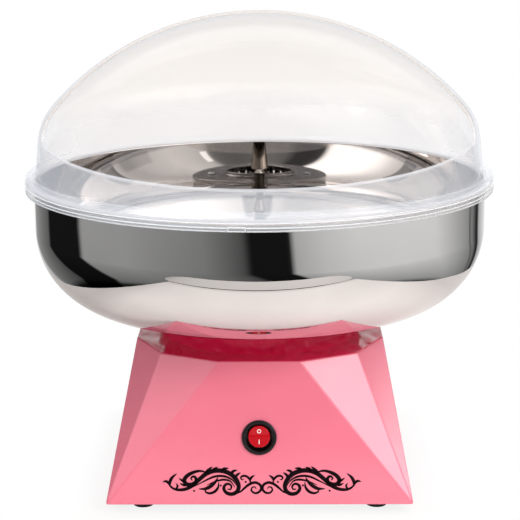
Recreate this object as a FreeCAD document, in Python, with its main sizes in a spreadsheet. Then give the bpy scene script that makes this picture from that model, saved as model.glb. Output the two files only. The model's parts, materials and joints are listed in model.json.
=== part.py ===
import FreeCAD, Part
import Sketcher
import math
import operator
import os
from types import SimpleNamespace

# Table-top cotton candy machine: +Z is up, the front faces -Y, and the origin is on the floor under the shaft.
# Lengths are in millimetres, angles in degrees, and the last group is counts.
SIZES = {
    # rubber feet
    "foot_height": 7.0,
    "foot_top_radius": 8.0,
    "foot_toe_radius": 7.0,
    "foot_stem_radius": 3.0,
    "foot_barb": 1.2,
    "foot_barb_height": 2.0,
    "foot_inset_side": 23.5,
    "foot_inset_front": 19.5,
    # faceted housing
    "base_width": 203.0,
    "base_height": 93.5,
    "deck_width": 169.6,
    "deck_edge": 53.0,
    "deck_corner": 130.6,
    "housing_wall": 2.6,
    "deck_thickness": 3.0,
    "deck_hole_radius": 36.0,
    "plate_boss_radius": 5.0,
    "plate_boss_height": 26.0,
    "plate_boss_inset": 8.5,
    "plate_boss_spacing": 110.0,
    # bottom plate
    "plate_thickness": 2.5,
    "plate_gap": 0.4,
    "vent_length": 18.0,
    "vent_width": 4.0,
    "vent_circle_radius": 24.0,
    # screws
    "screw_radius": 1.8,
    "screw_head_radius": 3.4,
    "screw_head_height": 2.0,
    "screw_bite": 11.0,
    "screw_clearance": 0.1,
    "small_screw_radius": 1.4,
    "small_screw_head_radius": 2.6,
    "small_screw_head_height": 1.5,
    "small_screw_bite": 7.0,
    # bowl seat and its gasket
    "seat_radius": 70.0,
    "seat_height": 14.5,
    "seat_wall": 3.0,
    "seat_boss_radius": 4.0,
    "seat_screw_angle": 90.0,
    "spigot_height": 29.5,
    "spigot_gap": 0.5,
    "gasket_thickness": 1.2,
    "gasket_width": 9.0,
    "rest_gap": 0.3,
    # bowl
    "bowl_radius": 154.6,
    "bowl_wall": 0.8,
    "bowl_height": 92.8,
    "bowl_corner_radius": 54.5,
    "bowl_corner_turn": 76.0,
    "bowl_flat_radius": 60.0,
    "bowl_hole_radius": 52.0,
    "bowl_lip_height": 8.0,
    "rim_bead_radius": 1.6,
    # dome cover
    "cover_wall": 2.0,
    "cover_spigot_gap": 0.6,
    "cover_spigot_depth": 5.0,
    "skirt_gap": 1.3,
    "skirt_wall": 2.2,
    "skirt_drop": 6.3,
    "ledge_thickness": 4.4,
    "shoulder_radius": 4.0,
    "cover_wall_height": 24.0,
    "cover_draft": 2.6,
    "cover_corner_run": 10.6,
    "cover_corner_rise": 22.0,
    "cover_corner_radius": 39.2,
    "crown_rise": 61.5,
    "mouth_height": 12.1,
    "mouth_slope": 6.4,
    "mouth_foot": 45.0,
    "mouth_lean": 32.4,
    "mouth_corner_radius": 12.0,
    # motor and its mounting
    "post_length": 13.5,
    "post_radius": 5.5,
    "post_spacing": 68.0,
    "grommet_height": 4.0,
    "grommet_radius": 6.5,
    "mount_thickness": 2.0,
    "mount_width": 84.0,
    "motor_radius": 24.0,
    "motor_wall": 1.5,
    "motor_screw_circle_radius": 15.0,
    "bell_height": 7.0,
    "bell_floor": 2.5,
    "bearing_radius": 6.0,
    "bearing_length": 6.0,
    "bearing_wall": 2.5,
    "bearing_sink": 4.0,
    "bearing_gap": 0.05,
    "magnet_thickness": 2.4,
    "magnet_inset": 1.0,
    "magnet_span": 120.0,
    "air_gap": 0.7,
    "winding_height": 4.0,
    "winding_radius": 16.0,
    "winding_gap": 3.45,
    "core_slot_depth": 5.3,
    "core_slot_width": 1.2,
    "commutator_radius": 7.0,
    "commutator_length": 6.0,
    "brush_width": 5.0,
    "brush_height": 4.0,
    "brush_length": 8.0,
    "shaft_radius": 3.0,
    # cooling fan
    "fan_radius": 32.0,
    "fan_height": 9.0,
    "fan_disc_thickness": 1.5,
    "fan_hub_radius": 8.0,
    "fan_blade_thickness": 1.6,
    "fan_blade_inset": 0.8,
    "fan_gap": 1.0,
    "shaft_tail": 1.0,
    "shaft_clearance": 4.75,
    # heater
    "insulator_radius": 4.5,
    "insulator_height": 23.0,
    "insulator_circle_radius": 41.0,
    "insulator_angle": 30.0,
    "pan_radius": 47.5,
    "pan_depth": 10.0,
    "pan_wall": 0.8,
    "pan_hole_radius": 14.0,
    "element_circle_radius": 33.0,
    "element_radius": 3.0,
    "element_lift": 6.2,
    "element_leg_spacing": 18.0,
    "element_leg_length": 18.0,
    "bush_radius": 5.0,
    "bush_length": 7.0,
    "bush_gap": 0.1,
    "clip_width": 6.0,
    "clip_depth": 8.0,
    "clip_grip": 1.8,
    "clip_angle": 270.0,
    "cutout_radius": 8.0,
    "cutout_height": 7.0,
    "cutout_offset": 22.0,
    "blade_width": 6.3,
    "blade_thickness": 0.8,
    "blade_length": 9.0,
    # spinning head
    "head_gap": 3.0,
    "head_radius": 46.5,
    "head_floor": 2.5,
    "hub_radius": 7.0,
    "hub_height": 18.0,
    "hub_skirt": 5.0,
    "shaft_engagement": 14.0,
    "head_bore_gap": 0.05,
    "band_radius": 46.0,
    "band_wall": 1.5,
    "band_height": 16.0,
    "band_slot_width": 1.2,
    "band_slot_margin": 3.0,
    "cap_thickness": 2.0,
    "sugar_mouth_radius": 22.0,
    "sugar_collar_height": 2.5,
    "sugar_collar_wall": 1.6,
    "head_post_radius": 3.0,
    "head_post_circle_radius": 33.0,
    "head_post_angle": 30.0,
    "pin_radius": 1.2,
    "pin_gap": 0.2,
    "pin_inset": 1.0,
    # centre knob of the head
    "knob_height": 55.5,
    "knob_foot_radius": 6.0,
    "knob_foot_height": 3.0,
    "knob_shoulder_radius": 4.2,
    "knob_shoulder_level": 28.0,
    "knob_neck_radius": 2.0,
    "knob_neck_level": 35.0,
    "knob_neck_height": 6.0,
    "knob_grip_radius": 3.6,
    "knob_grip_chamfer": 1.4,
    # rocker switch
    "switch_level": 44.0,
    "switch_bezel_radius": 11.5,
    "switch_bezel_height": 2.0,
    "switch_barrel_radius": 9.9,
    "switch_barrel_length": 18.0,
    "switch_hole_gap": 0.2,
    "switch_well_radius": 8.8,
    "switch_well_width": 13.2,
    "switch_well_depth": 7.5,
    "switch_clip_length": 4.0,
    "switch_clip_width": 5.0,
    "switch_clip_reach": 1.0,
    "switch_blade_spacing": 5.0,
    "rocker_width": 12.6,
    "rocker_reach": 7.0,
    "rocker_round": 7.6,
    "rocker_crest": 5.4,
    "rocker_valley": 4.0,
    "rocker_keel": 3.0,
    "rocker_throw": 20.0,
    "pivot_depth": 3.0,
    "trunnion_radius": 1.2,
    "trunnion_reach": 0.7,
    "trunnion_gap": 0.06,
    # cord gland at the back
    "gland_level": 16.0,
    "gland_flange_radius": 8.5,
    "gland_flange_height": 3.0,
    "gland_barrel_radius": 6.4,
    "gland_barrel_length": 12.0,
    "gland_bore_radius": 3.6,
    "gland_nut_radius": 9.5,
    "gland_nut_height": 4.0,
    "gland_hole_gap": 0.1,
    # terminal block
    "block_length": 34.0,
    "block_width": 18.0,
    "block_height": 13.0,
    "block_inset": 45.5,
    "block_y": 40.0,
    "block_screw_pitch": 10.0,
    # insulated leads inside the housing
    "lead_radius": 1.2,
    "lead_stub": 9.0,
    "lead_pitch": 10.0,
    "lead_aisle_shift": 6.0,
    "lead_entry_height": 6.5,
    "lead_riser_gap": 8.0,
    "lead_ceiling_gap": 5.0,
    "lead_link_drop": 4.0,
    "lead_mount_gap": 2.5,
    "lead_inset": 3.6,
    "switch_lead_run_in": 18.0,
    "motor_lead_run_in": 13.5,
    # counts
    "vent_count": 10,
    "fan_blade_count": 9,
    "band_slot_count": 36,
    "core_slot_count": 6,
    "motor_screw_count": 2,
    "seat_screw_count": 3,
    "insulator_count": 3,
    "clip_count": 3,
    "head_post_count": 3,
}

X_AXIS = FreeCAD.Vector(1, 0, 0)
Y_AXIS = FreeCAD.Vector(0, 1, 0)
Z_AXIS = FreeCAD.Vector(0, 0, 1)
CORNERS = ((1, 1), (-1, 1), (-1, -1), (1, -1))
PAIR_LANES = ((-1, 1), (1, 0))  # which side a lead of a pair starts on, and which lane it takes
FULL_TURN = 360
RIGHT_ANGLE = 90
CUT_MARGIN = 5  # how far a cutting tool runs past the face that it opens
BEND_SHARE = 0.45  # part of the shorter of two straight runs that the bend between them takes up

document = FreeCAD.newDocument("cotton_candy_machine")
nodes = []


class Size:
    """A size that is known as a number and as the spreadsheet expression that gives it."""

    def __init__(self, value, text):
        self.value = value
        self.text = text

    def __add__(self, other):
        return combine(self, other, operator.add, "+")

    def __radd__(self, other):
        return combine(other, self, operator.add, "+")

    def __sub__(self, other):
        return combine(self, other, operator.sub, "-")

    def __rsub__(self, other):
        return combine(other, self, operator.sub, "-")

    def __mul__(self, other):
        return combine(self, other, operator.mul, "*")

    def __rmul__(self, other):
        return combine(other, self, operator.mul, "*")

    def __truediv__(self, other):
        return combine(self, other, operator.truediv, "/")

    def __neg__(self):
        return self * -1


def as_size(number):
    """Take a plain number as a size."""
    if isinstance(number, Size):
        return number
    return Size(float(number), f"({float(number)})")


def combine(left, right, work, sign):
    """Join two sizes by one arithmetic sign."""
    left, right = as_size(left), as_size(right)
    return Size(work(left.value, right.value), f"({left.text} {sign} {right.text})")


def sine(angle):
    """Sine of an angle in degrees."""
    angle = as_size(angle)
    return Size(math.sin(math.radians(angle.value)), f"sin({angle.text})")


def cosine(angle):
    """Cosine of an angle in degrees."""
    angle = as_size(angle)
    return Size(math.cos(math.radians(angle.value)), f"cos({angle.text})")


def tangent(angle):
    """Tangent of an angle in degrees."""
    angle = as_size(angle)
    return Size(math.tan(math.radians(angle.value)), f"tan({angle.text})")


def arc_tangent(ratio):
    """Angle in degrees whose tangent is the ratio."""
    return Size(math.degrees(math.atan(ratio.value)), f"(atan({ratio.text}) / 1 deg)")


def root(square):
    """Square root of a size."""
    return Size(math.sqrt(square.value), f"sqrt({square.text})")


def write_sheet():
    """Write the driving sizes into the spreadsheet, and give each as a Size."""
    sheet = document.addObject("Spreadsheet::Sheet", "Sizes")
    for row, (name, value) in enumerate(SIZES.items(), start=1):
        sheet.set(f"A{row}", name)
        sheet.set(f"B{row}", str(value))
        sheet.setAlias(f"B{row}", name)
    document.recompute()
    return SimpleNamespace(**{name: Size(float(sheet.get(name)), f"Sizes.{name}") for name in SIZES})


dim = write_sheet()

# Levels and half sizes that several sub-parts share.
base_half = dim.base_width / 2
deck_half = dim.deck_width / 2
lean = arc_tangent((base_half - deck_half) / dim.base_height)
deck_level = dim.foot_height + dim.base_height
ceiling_level = deck_level - dim.deck_thickness
plate_level = dim.foot_height + dim.plate_thickness
seat_level = deck_level + dim.seat_height
bowl_level = seat_level + dim.gasket_thickness + dim.rest_gap
rim_level = bowl_level + dim.bowl_height
ledge_level = rim_level + dim.rest_gap + dim.ledge_thickness
post_level = ceiling_level - dim.post_length
motor_top = post_level - dim.grommet_height - dim.mount_thickness
shaft_bottom = plate_level + dim.shaft_clearance
fan_top = shaft_bottom + dim.shaft_tail + dim.fan_height
bearing_overhang = (dim.bearing_length - dim.bell_floor) / 2
motor_bottom = fan_top + dim.fan_gap + bearing_overhang
can_height = motor_top - motor_bottom - dim.bell_height
pan_level = deck_level + dim.insulator_height
pan_rim_level = pan_level + dim.pan_depth
element_level = pan_level + dim.pan_wall + dim.element_lift
head_level = pan_rim_level + dim.head_gap
chamber_level = head_level + dim.head_floor
cap_level = chamber_level + dim.band_height
hub_top = chamber_level + dim.hub_height
hub_bottom = head_level - dim.hub_skirt
shaft_top = chamber_level + dim.shaft_engagement
block_x = base_half - dim.block_inset


def bind(solid, **sizes):
    """Tie properties of a document object to sizes."""
    for name, size in sizes.items():
        solid.setExpression(name, as_size(size).text)


def place(solid, x=0, y=0, z=0, axis=Z_AXIS, turn=None):
    """Tie a document object's place, and its turn about one axis, to sizes."""
    if turn is not None:
        turn = as_size(turn)
        solid.Placement = FreeCAD.Placement(FreeCAD.Vector(), FreeCAD.Rotation(axis, turn.value))
        solid.setExpression("Placement.Rotation.Angle", turn.text)
    for letter, size in zip("xyz", (x, y, z)):
        solid.setExpression(f"Placement.Base.{letter}", as_size(size).text)
    return solid


def cylinder(radius, height, x=0, y=0, z=0):
    """Upright cylinder on its foot."""
    solid = document.addObject("Part::Cylinder", "cylinder")
    bind(solid, Radius=radius, Height=height)
    return place(solid, x, y, z)


def cone(low_radius, high_radius, height, x=0, y=0, z=0):
    """Upright cone on its foot."""
    solid = document.addObject("Part::Cone", "cone")
    bind(solid, Radius1=low_radius, Radius2=high_radius, Height=height)
    return place(solid, x, y, z)


def block(length, width, height, x=0, y=0, z=0, turn=0):
    """Upright block, centred on x and y and turned about its own middle."""
    solid = document.addObject("Part::Box", "block")
    bind(solid, Length=length, Width=width, Height=height)
    half_length, half_width = as_size(length) / 2, as_size(width) / 2
    corner_x = x - half_length * cosine(turn) + half_width * sine(turn)
    corner_y = y - half_length * sine(turn) - half_width * cosine(turn)
    return place(solid, corner_x, corner_y, z, Z_AXIS, turn)


def fuse(parts):
    """One solid made of parts that meet."""
    solid = document.addObject("Part::MultiFuse", "fusion")
    solid.Shapes = parts
    return solid


def group(parts):
    """Separate solids kept together."""
    solid = document.addObject("Part::Compound", "group")
    solid.Links = parts
    return solid


def cut(base, tools):
    """A solid with its tools taken away."""
    solid = document.addObject("Part::Cut", "cut")
    solid.Base = base
    solid.Tool = tools[0] if len(tools) == 1 else fuse(tools)
    return solid


def common(first, second):
    """What two solids share."""
    solid = document.addObject("Part::MultiCommon", "common")
    solid.Shapes = [first, second]
    return solid


def tube(outer, inner, height, x=0, y=0, z=0):
    """Upright tube on its foot."""
    wall = cylinder(outer, height, x, y, z)
    hole = cylinder(inner, height + 2 * CUT_MARGIN, x, y, z - CUT_MARGIN)
    return cut(wall, [hole])


def spots(circle_radius, count, first_angle=0):
    """Places evenly round the shaft axis, as (x, y, angle)."""
    number = round(as_size(count).value)
    for index in range(number):
        angle = first_angle + index * FULL_TURN / number
        yield circle_radius * cosine(angle), circle_radius * sine(angle), angle


def corner_spots(half_x, half_y):
    """Four places, one in each quarter, as (x, y)."""
    return [(across * half_x, along * half_y) for across, along in CORNERS]


def node(name, solid):
    """Name a finished sub-part and list it for writing."""
    solid.Label = name
    nodes.append(solid)
    return solid


def origin_plane(body, role):
    """The origin plane of a body, found by its role."""
    return next(plane for plane in body.Origin.OriginFeatures if plane.Role == role)


def sketch_edge(begin, finish, radius):
    """Line, or arc of the signed radius, and which of its ends lie at begin and finish."""
    if radius is None:
        return Part.LineSegment(begin, finish), (1, 2)
    chord = finish - begin
    left = FreeCAD.Vector(-chord.y, chord.x, 0).normalize()
    rise = math.sqrt(radius ** 2 - (chord.Length / 2) ** 2)
    centre = (begin + finish) * 0.5 + left * math.copysign(rise, radius)
    first, last, ends = (begin, finish, (1, 2)) if radius > 0 else (finish, begin, (2, 1))
    angles = [math.atan2(point.y - centre.y, point.x - centre.x) for point in (first, last)]
    return Part.ArcOfCircle(Part.Circle(centre, Z_AXIS, abs(radius)), *angles), ends


def add_datum(sketch, kind, value, *members):
    """Add a driving dimension to a sketch and tie it to a size."""
    index = sketch.addConstraint(Sketcher.Constraint(kind, *members, value.value))
    sketch.setExpression(f"Constraints[{index}]", value.text)


def fix_point(sketch, kind, axis_line, geometry, end, value):
    """Tie one coordinate of a sketch point to a size."""
    if value.value == 0:
        sketch.addConstraint(Sketcher.Constraint("PointOnObject", geometry, end, axis_line))
    elif value.value > 0:
        add_datum(sketch, kind, value, -1, 1, geometry, end)
    else:
        add_datum(sketch, kind, -value, geometry, end, -1, 1)


def draw_outline(body, role, corners):
    """Draw a closed outline on an origin plane.

    A corner is (across, up). A third entry is the radius of the arc that leads to the next corner,
    positive where the arc turns left.
    """
    sketch = body.newObject("Sketcher::SketchObject", "outline")
    sketch.AttachmentSupport = [(origin_plane(body, role), "")]
    sketch.MapMode = "FlatFace"
    places = [(as_size(corner[0]), as_size(corner[1])) for corner in corners]
    points = [FreeCAD.Vector(across.value, up.value, 0) for across, up in places]
    ends = []
    for index, corner in enumerate(corners):
        radius = corner[2] if len(corner) > 2 else None
        bend = None if radius is None else as_size(radius).value
        edge, edge_ends = sketch_edge(points[index], points[(index + 1) % len(points)], bend)
        sketch.addGeometry(edge, False)
        ends.append(edge_ends)
    for index, (across, up) in enumerate(places):
        before = index - 1 if index else len(places) - 1
        sketch.addConstraint(Sketcher.Constraint("Coincident", before, ends[before][1], index, ends[index][0]))
        fix_point(sketch, "DistanceX", -2, index, ends[index][0], across)
        fix_point(sketch, "DistanceY", -1, index, ends[index][0], up)
        if len(corners[index]) > 2:
            bend = as_size(corners[index][2])
            add_datum(sketch, "Radius", bend if bend.value > 0 else -bend, index)
    return sketch


def turned(name, corners):
    """Body turned about the shaft axis from a half outline of (radius, level) corners."""
    body = document.addObject("PartDesign::Body", name)
    sketch = draw_outline(body, "XZ_Plane", corners)
    revolution = body.newObject("PartDesign::Revolution", "revolution")
    revolution.Profile = sketch
    revolution.ReferenceAxis = (sketch, ["V_Axis"])
    revolution.Angle = FULL_TURN
    sketch.Visibility = False
    return body


def prism(name, corners, width):
    """Body drawn in the side view as (y, z) corners, and padded evenly to both sides."""
    body = document.addObject("PartDesign::Body", name)
    sketch = draw_outline(body, "YZ_Plane", corners)
    pad = body.newObject("PartDesign::Pad", "pad")
    pad.Profile = sketch
    pad.Midplane = True
    bind(pad, Length=width)
    return body


def screws(name, places, level, length, small=False, hanging=False):
    """Pan-head screws as a group; a hanging screw has its head below the level, any other above it."""
    radius = dim.small_screw_radius if small else dim.screw_radius
    head_radius = dim.small_screw_head_radius if small else dim.screw_head_radius
    head_height = dim.small_screw_head_height if small else dim.screw_head_height
    head_level = level - head_height if hanging else level
    shank_level = level if hanging else level - length
    made = []
    for x, y in places:
        shank = cylinder(radius, length, x, y, shank_level)
        made.append(fuse([cylinder(head_radius, head_height, x, y, head_level), shank]))
    return node(name, group(made))


def faceted_points(fraction, inset):
    """The twelve corners of the housing at a fraction of its height, each moved inwards by the inset."""
    edge_half, corner_half = dim.deck_edge / 2, dim.deck_corner / 2
    quarter = ((deck_half, edge_half), (corner_half, corner_half), (edge_half, deck_half))
    points = []
    for index, (side_x, side_y) in enumerate(CORNERS):
        ordered = quarter if index % 2 == 0 else quarter[::-1]
        for top_x, top_y in ordered:
            x = base_half.value + (top_x.value - base_half.value) * fraction - inset
            y = base_half.value + (top_y.value - base_half.value) * fraction - inset
            points.append((side_x * x, side_y * y))
    return points


def faceted_block(name, high_fraction, inset):
    """Solid with a square foot, a twelve-cornered top, and corners folded into triangles between them."""
    low = dim.foot_height.value
    high = low + dim.base_height.value * high_fraction
    reach = base_half.value - inset
    feet = [FreeCAD.Vector(across * reach, along * reach, low) for across, along in CORNERS]
    tops = [FreeCAD.Vector(x, y, high) for x, y in faceted_points(high_fraction, inset)]
    rings = [feet, tops]
    for index, foot in enumerate(feet):
        first, middle, last = tops[3 * index:3 * index + 3]
        next_foot, next_top = feet[(index + 1) % len(feet)], tops[(3 * index + 3) % len(tops)]
        rings += [[foot, first, middle], [foot, middle, last], [foot, last, next_top, next_foot]]
    faces = [Part.Face(Part.makePolygon(ring + ring[:1])) for ring in rings]
    solid = document.addObject("Part::Feature", name)
    solid.Shape = Part.Solid(Part.Shell(faces))
    return solid


def front_spot(level, out):
    """Place (y, z) on the leaning front face, a level above its foot and moved outwards."""
    y = -(base_half - level * tangent(lean)) - out * cosine(lean)
    return y, dim.foot_height + level + out * sine(lean)


def on_front(solid, level, out=0):
    """Set a solid on the front face, its own Z axis pointing out of the face."""
    y, z = front_spot(level, as_size(out))
    return place(solid, 0, y, z, X_AXIS, RIGHT_ANGLE - lean)


def on_back(solid, level, out=0):
    """Set a solid on the back face, its own Z axis pointing out of the face."""
    y, z = front_spot(level, as_size(out))
    return place(solid, 0, -y, z, X_AXIS, lean - RIGHT_ANGLE)


def housing():
    """Pink faceted housing with its deck, screw bosses, motor posts and the two openings in its faces."""
    slope_wall = dim.housing_wall / cosine(lean)
    outside = faceted_block("housing_outside", 1.0, 0.0)
    room_fraction = (ceiling_level - dim.foot_height) / dim.base_height
    room = faceted_block("housing_room", room_fraction.value, slope_wall.value)
    boss_places = plate_screw_places()
    bosses = [cylinder(dim.plate_boss_radius, dim.plate_boss_height, x, y, plate_level) for x, y in boss_places]
    posts = [cylinder(dim.post_radius, dim.post_length, x, y, post_level) for x, y in post_places()]
    walls = fuse([cut(outside, [room]), common(fuse(bosses), outside)] + posts)
    pilot = dim.screw_radius
    pilot_depth = dim.screw_bite + CUT_MARGIN
    holes = [cylinder(pilot, pilot_depth, x, y, plate_level - CUT_MARGIN) for x, y in boss_places]
    holes += [cylinder(pilot, pilot_depth, x, y, post_level - CUT_MARGIN) for x, y in post_places()]
    holes += [cylinder(pilot, dim.deck_thickness + 2 * CUT_MARGIN, x, y, ceiling_level - CUT_MARGIN)
              for x, y, _ in seat_screw_places()]
    holes.append(cylinder(dim.deck_hole_radius, dim.deck_thickness + 2 * CUT_MARGIN, z=ceiling_level - CUT_MARGIN))
    switch_hole = cylinder(dim.switch_barrel_radius + dim.switch_hole_gap, 2 * CUT_MARGIN)
    gland_hole = cylinder(dim.gland_barrel_radius + dim.gland_hole_gap, 2 * CUT_MARGIN)
    holes.append(on_front(switch_hole, dim.switch_level, -CUT_MARGIN))
    holes.append(on_back(gland_hole, dim.gland_level, -CUT_MARGIN))
    return node("base_housing", cut(walls, holes))


def plate_screw_places():
    """Where the bottom plate is screwed to the housing."""
    return corner_spots(base_half - dim.plate_boss_inset, dim.plate_boss_spacing / 2)


def post_places():
    """Where the motor mount hangs from the deck."""
    return corner_spots(dim.post_spacing / 2, dim.post_spacing / 2)


def foot_places():
    """Where the feet push into the bottom plate."""
    return corner_spots(base_half - dim.foot_inset_side, base_half - dim.foot_inset_front)


def seat_screw_places():
    """Where the bowl seat is screwed to the deck."""
    middle = (dim.seat_radius - dim.seat_wall + dim.bowl_hole_radius - dim.spigot_gap) / 2
    return list(spots(middle, dim.seat_screw_count, dim.seat_screw_angle))


def bottom_plate():
    """Plate that closes the housing, with air slots under the fan and holes for feet and screws."""
    inset = dim.housing_wall / cosine(lean) + dim.plate_gap
    slab = faceted_block("plate_slab", (dim.plate_thickness / dim.base_height).value, inset.value)
    low, depth = dim.foot_height - CUT_MARGIN, dim.plate_thickness + 2 * CUT_MARGIN
    holes = [cylinder(dim.screw_radius, depth, x, y, low) for x, y in plate_screw_places()]
    holes += [cylinder(dim.foot_stem_radius, depth, x, y, low) for x, y in foot_places()]
    holes += [block(dim.vent_length, dim.vent_width, depth, x, y, low, angle)
              for x, y, angle in spots(dim.vent_circle_radius, dim.vent_count)]
    return node("bottom_plate", cut(slab, holes))


def feet():
    """Push-in rubber feet."""
    names = ("foot_rear_right", "foot_rear_left", "foot_front_left", "foot_front_right")
    barb_radius = dim.foot_stem_radius + dim.foot_barb
    for name, (x, y) in zip(names, foot_places()):
        pad = cone(dim.foot_toe_radius, dim.foot_top_radius, dim.foot_height, x, y)
        stem = cylinder(dim.foot_stem_radius, dim.plate_thickness, x, y, dim.foot_height)
        barb = cone(barb_radius, dim.foot_stem_radius - dim.foot_barb, dim.foot_barb_height, x, y, plate_level)
        node(name, fuse([pad, stem, barb]))


def bowl_seat():
    """Round pedestal on the deck: an outer wall, a top face, and a spigot that centres the bowl."""
    spigot_outer = dim.bowl_hole_radius - dim.spigot_gap
    spigot_inner = spigot_outer - dim.seat_wall
    under_top = seat_level - dim.seat_wall
    ring = turned("seat_ring", [
        (spigot_inner, deck_level),
        (spigot_outer, deck_level),
        (spigot_outer, under_top),
        (dim.seat_radius - dim.seat_wall, under_top),
        (dim.seat_radius - dim.seat_wall, deck_level),
        (dim.seat_radius, deck_level),
        (dim.seat_radius, seat_level),
        (spigot_outer, seat_level),
        (spigot_outer, deck_level + dim.spigot_height),
        (spigot_inner, deck_level + dim.spigot_height),
    ])
    boss_height = dim.seat_height - dim.seat_wall
    bosses = [cylinder(dim.seat_boss_radius, boss_height, x, y, deck_level) for x, y, _ in seat_screw_places()]
    holes = [cylinder(dim.screw_radius, dim.screw_bite - dim.deck_thickness + CUT_MARGIN, x, y, deck_level - CUT_MARGIN)
             for x, y, _ in seat_screw_places()]
    return node("bowl_seat", cut(fuse([ring] + bosses), holes))


def bowl_gasket():
    """Soft ring on the seat that the bowl rests on."""
    outer = dim.bowl_flat_radius + dim.gasket_width / 2
    return node("bowl_gasket", tube(outer, outer - dim.gasket_width, dim.gasket_thickness, z=seat_level))


def bowl_curve(offset):
    """Corners of one skin of the bowl from its flat to its side: (radius, level) of three joints and two bends."""
    corner = dim.bowl_corner_radius
    turn = dim.bowl_corner_turn
    run = corner * (1 - cosine(turn))
    shallow_radius = (dim.bowl_radius - run - dim.bowl_flat_radius) / cosine(turn)
    centre_level = bowl_level + shallow_radius * (1 - sine(turn)) + corner * sine(turn)
    side_radius = dim.bowl_radius - offset
    small = corner - offset
    flat = (dim.bowl_flat_radius, bowl_level + offset)
    joint = (dim.bowl_radius - corner + small * cosine(turn), centre_level - small * sine(turn))
    return flat, joint, (side_radius, centre_level), shallow_radius - offset, small


def bowl():
    """Spun stainless bowl: turned-up lip at its hole, shallow floor, round corner, upright wall and rolled rim."""
    flat, joint, side, shallow, corner = bowl_curve(0)
    inner_flat, inner_joint, inner_side, inner_shallow, inner_corner = bowl_curve(dim.bowl_wall)
    bead = dim.rim_bead_radius
    bead_level = rim_level - bead
    inner_radius = dim.bowl_radius - dim.bowl_wall
    bead_foot = bead_level - root(bead * bead - (bead - dim.bowl_wall) * (bead - dim.bowl_wall))
    lip_level = bowl_level + dim.bowl_lip_height
    lip_outer = dim.bowl_hole_radius + dim.bowl_wall
    return node("bowl", turned("bowl", [
        (dim.bowl_hole_radius, bowl_level),
        (flat[0], flat[1], shallow),
        (joint[0], joint[1], corner),
        side,
        (dim.bowl_radius, bead_foot, bead),
        (inner_radius + 2 * bead, bead_level, bead),
        (inner_radius + bead, rim_level, bead),
        (inner_radius, bead_level),
        (inner_side[0], inner_side[1], -inner_corner),
        (inner_joint[0], inner_joint[1], -inner_shallow),
        inner_flat,
        (lip_outer, bowl_level + dim.bowl_wall),
        (lip_outer, lip_level),
        (dim.bowl_hole_radius, lip_level),
    ]))


def cover_shell():
    """Turned shell of the clear cover, before its mouth is cut."""
    inner_radius = dim.bowl_radius - dim.bowl_wall
    wall_radius = inner_radius - dim.cover_spigot_gap
    bead_outer = inner_radius + 2 * dim.rim_bead_radius
    skirt_inner = bead_outer + dim.skirt_gap
    skirt_outer = skirt_inner + dim.skirt_wall
    seat_under = ledge_level - dim.ledge_thickness
    skirt_foot = rim_level - dim.skirt_drop
    top_radius = wall_radius - dim.cover_draft
    top_level = ledge_level + dim.cover_wall_height
    crown_edge = top_radius - dim.cover_corner_run
    crown_level = top_level + dim.cover_corner_rise
    apex_level = crown_level + dim.crown_rise
    crown_radius = (crown_edge * crown_edge + dim.crown_rise * dim.crown_rise) / (2 * dim.crown_rise)
    inner_crown = crown_radius - dim.cover_wall
    share = inner_crown / crown_radius
    inner_edge = crown_edge * share
    inner_crown_level = apex_level - crown_radius + (crown_level - apex_level + crown_radius) * share
    return turned("cover_shell", [
        (skirt_inner, skirt_foot),
        (skirt_outer, skirt_foot),
        (skirt_outer, ledge_level - dim.shoulder_radius, dim.shoulder_radius),
        (skirt_outer - dim.shoulder_radius, ledge_level),
        (wall_radius, ledge_level),
        (top_radius, top_level, dim.cover_corner_radius),
        (crown_edge, crown_level, crown_radius),
        (0, apex_level),
        (0, apex_level - dim.cover_wall, -inner_crown),
        (inner_edge, inner_crown_level, dim.cover_wall - dim.cover_corner_radius),
        (top_radius - dim.cover_wall, top_level),
        (wall_radius - dim.cover_wall, ledge_level),
        (wall_radius - dim.cover_wall, seat_under - dim.cover_spigot_depth),
        (wall_radius, seat_under - dim.cover_spigot_depth),
        (wall_radius, seat_under),
        (skirt_inner, seat_under),
    ])


def mouth_cutter():
    """Wedge that opens the front of the cover: a low sloping sill, a round corner and a leaning arch."""
    front = dim.bowl_radius + 2 * CUT_MARGIN
    top = ledge_level + dim.cover_wall_height + dim.cover_corner_rise + dim.crown_rise + CUT_MARGIN
    slope, lean_back = dim.mouth_slope, dim.mouth_lean
    sill_level = ledge_level + dim.mouth_height
    corner_level = sill_level + (dim.bowl_radius - dim.mouth_foot) * tangent(slope)
    setback = dim.mouth_corner_radius / tangent((RIGHT_ANGLE + slope + lean_back) / 2)
    return prism("mouth_cutter", [
        (-front, sill_level - (front - dim.bowl_radius) * tangent(slope)),
        (-dim.mouth_foot - setback * cosine(slope), corner_level - setback * sine(slope), dim.mouth_corner_radius),
        (setback * sine(lean_back) - dim.mouth_foot, corner_level + setback * cosine(lean_back)),
        ((top - corner_level) * tangent(lean_back) - dim.mouth_foot, top),
        (-front, top),
    ], 2 * front)


def cover():
    """Clear hood that sits in the bowl's rim, open at the front."""
    return node("dome_cover", cut(cover_shell(), [mouth_cutter()]))


def motor_mount():
    """Steel plate under the deck that carries the motor on rubber grommets."""
    level = motor_top
    plate = block(dim.mount_width, dim.mount_width, dim.mount_thickness, z=level)
    depth = dim.mount_thickness + 2 * CUT_MARGIN
    low = level - CUT_MARGIN
    holes = [cylinder(dim.bearing_radius + dim.bearing_wall, depth, z=low)]
    holes += [cylinder(dim.screw_radius + dim.screw_clearance, depth, x, y, low) for x, y in post_places()]
    holes += [cylinder(dim.small_screw_radius, depth, x, y, low) for x, y in motor_screw_places()]
    node("motor_mount", cut(plate, holes))
    rings = [tube(dim.grommet_radius, dim.screw_radius + dim.screw_clearance, dim.grommet_height,
                  x, y, level + dim.mount_thickness) for x, y in post_places()]
    node("motor_grommets", group(rings))


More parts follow.
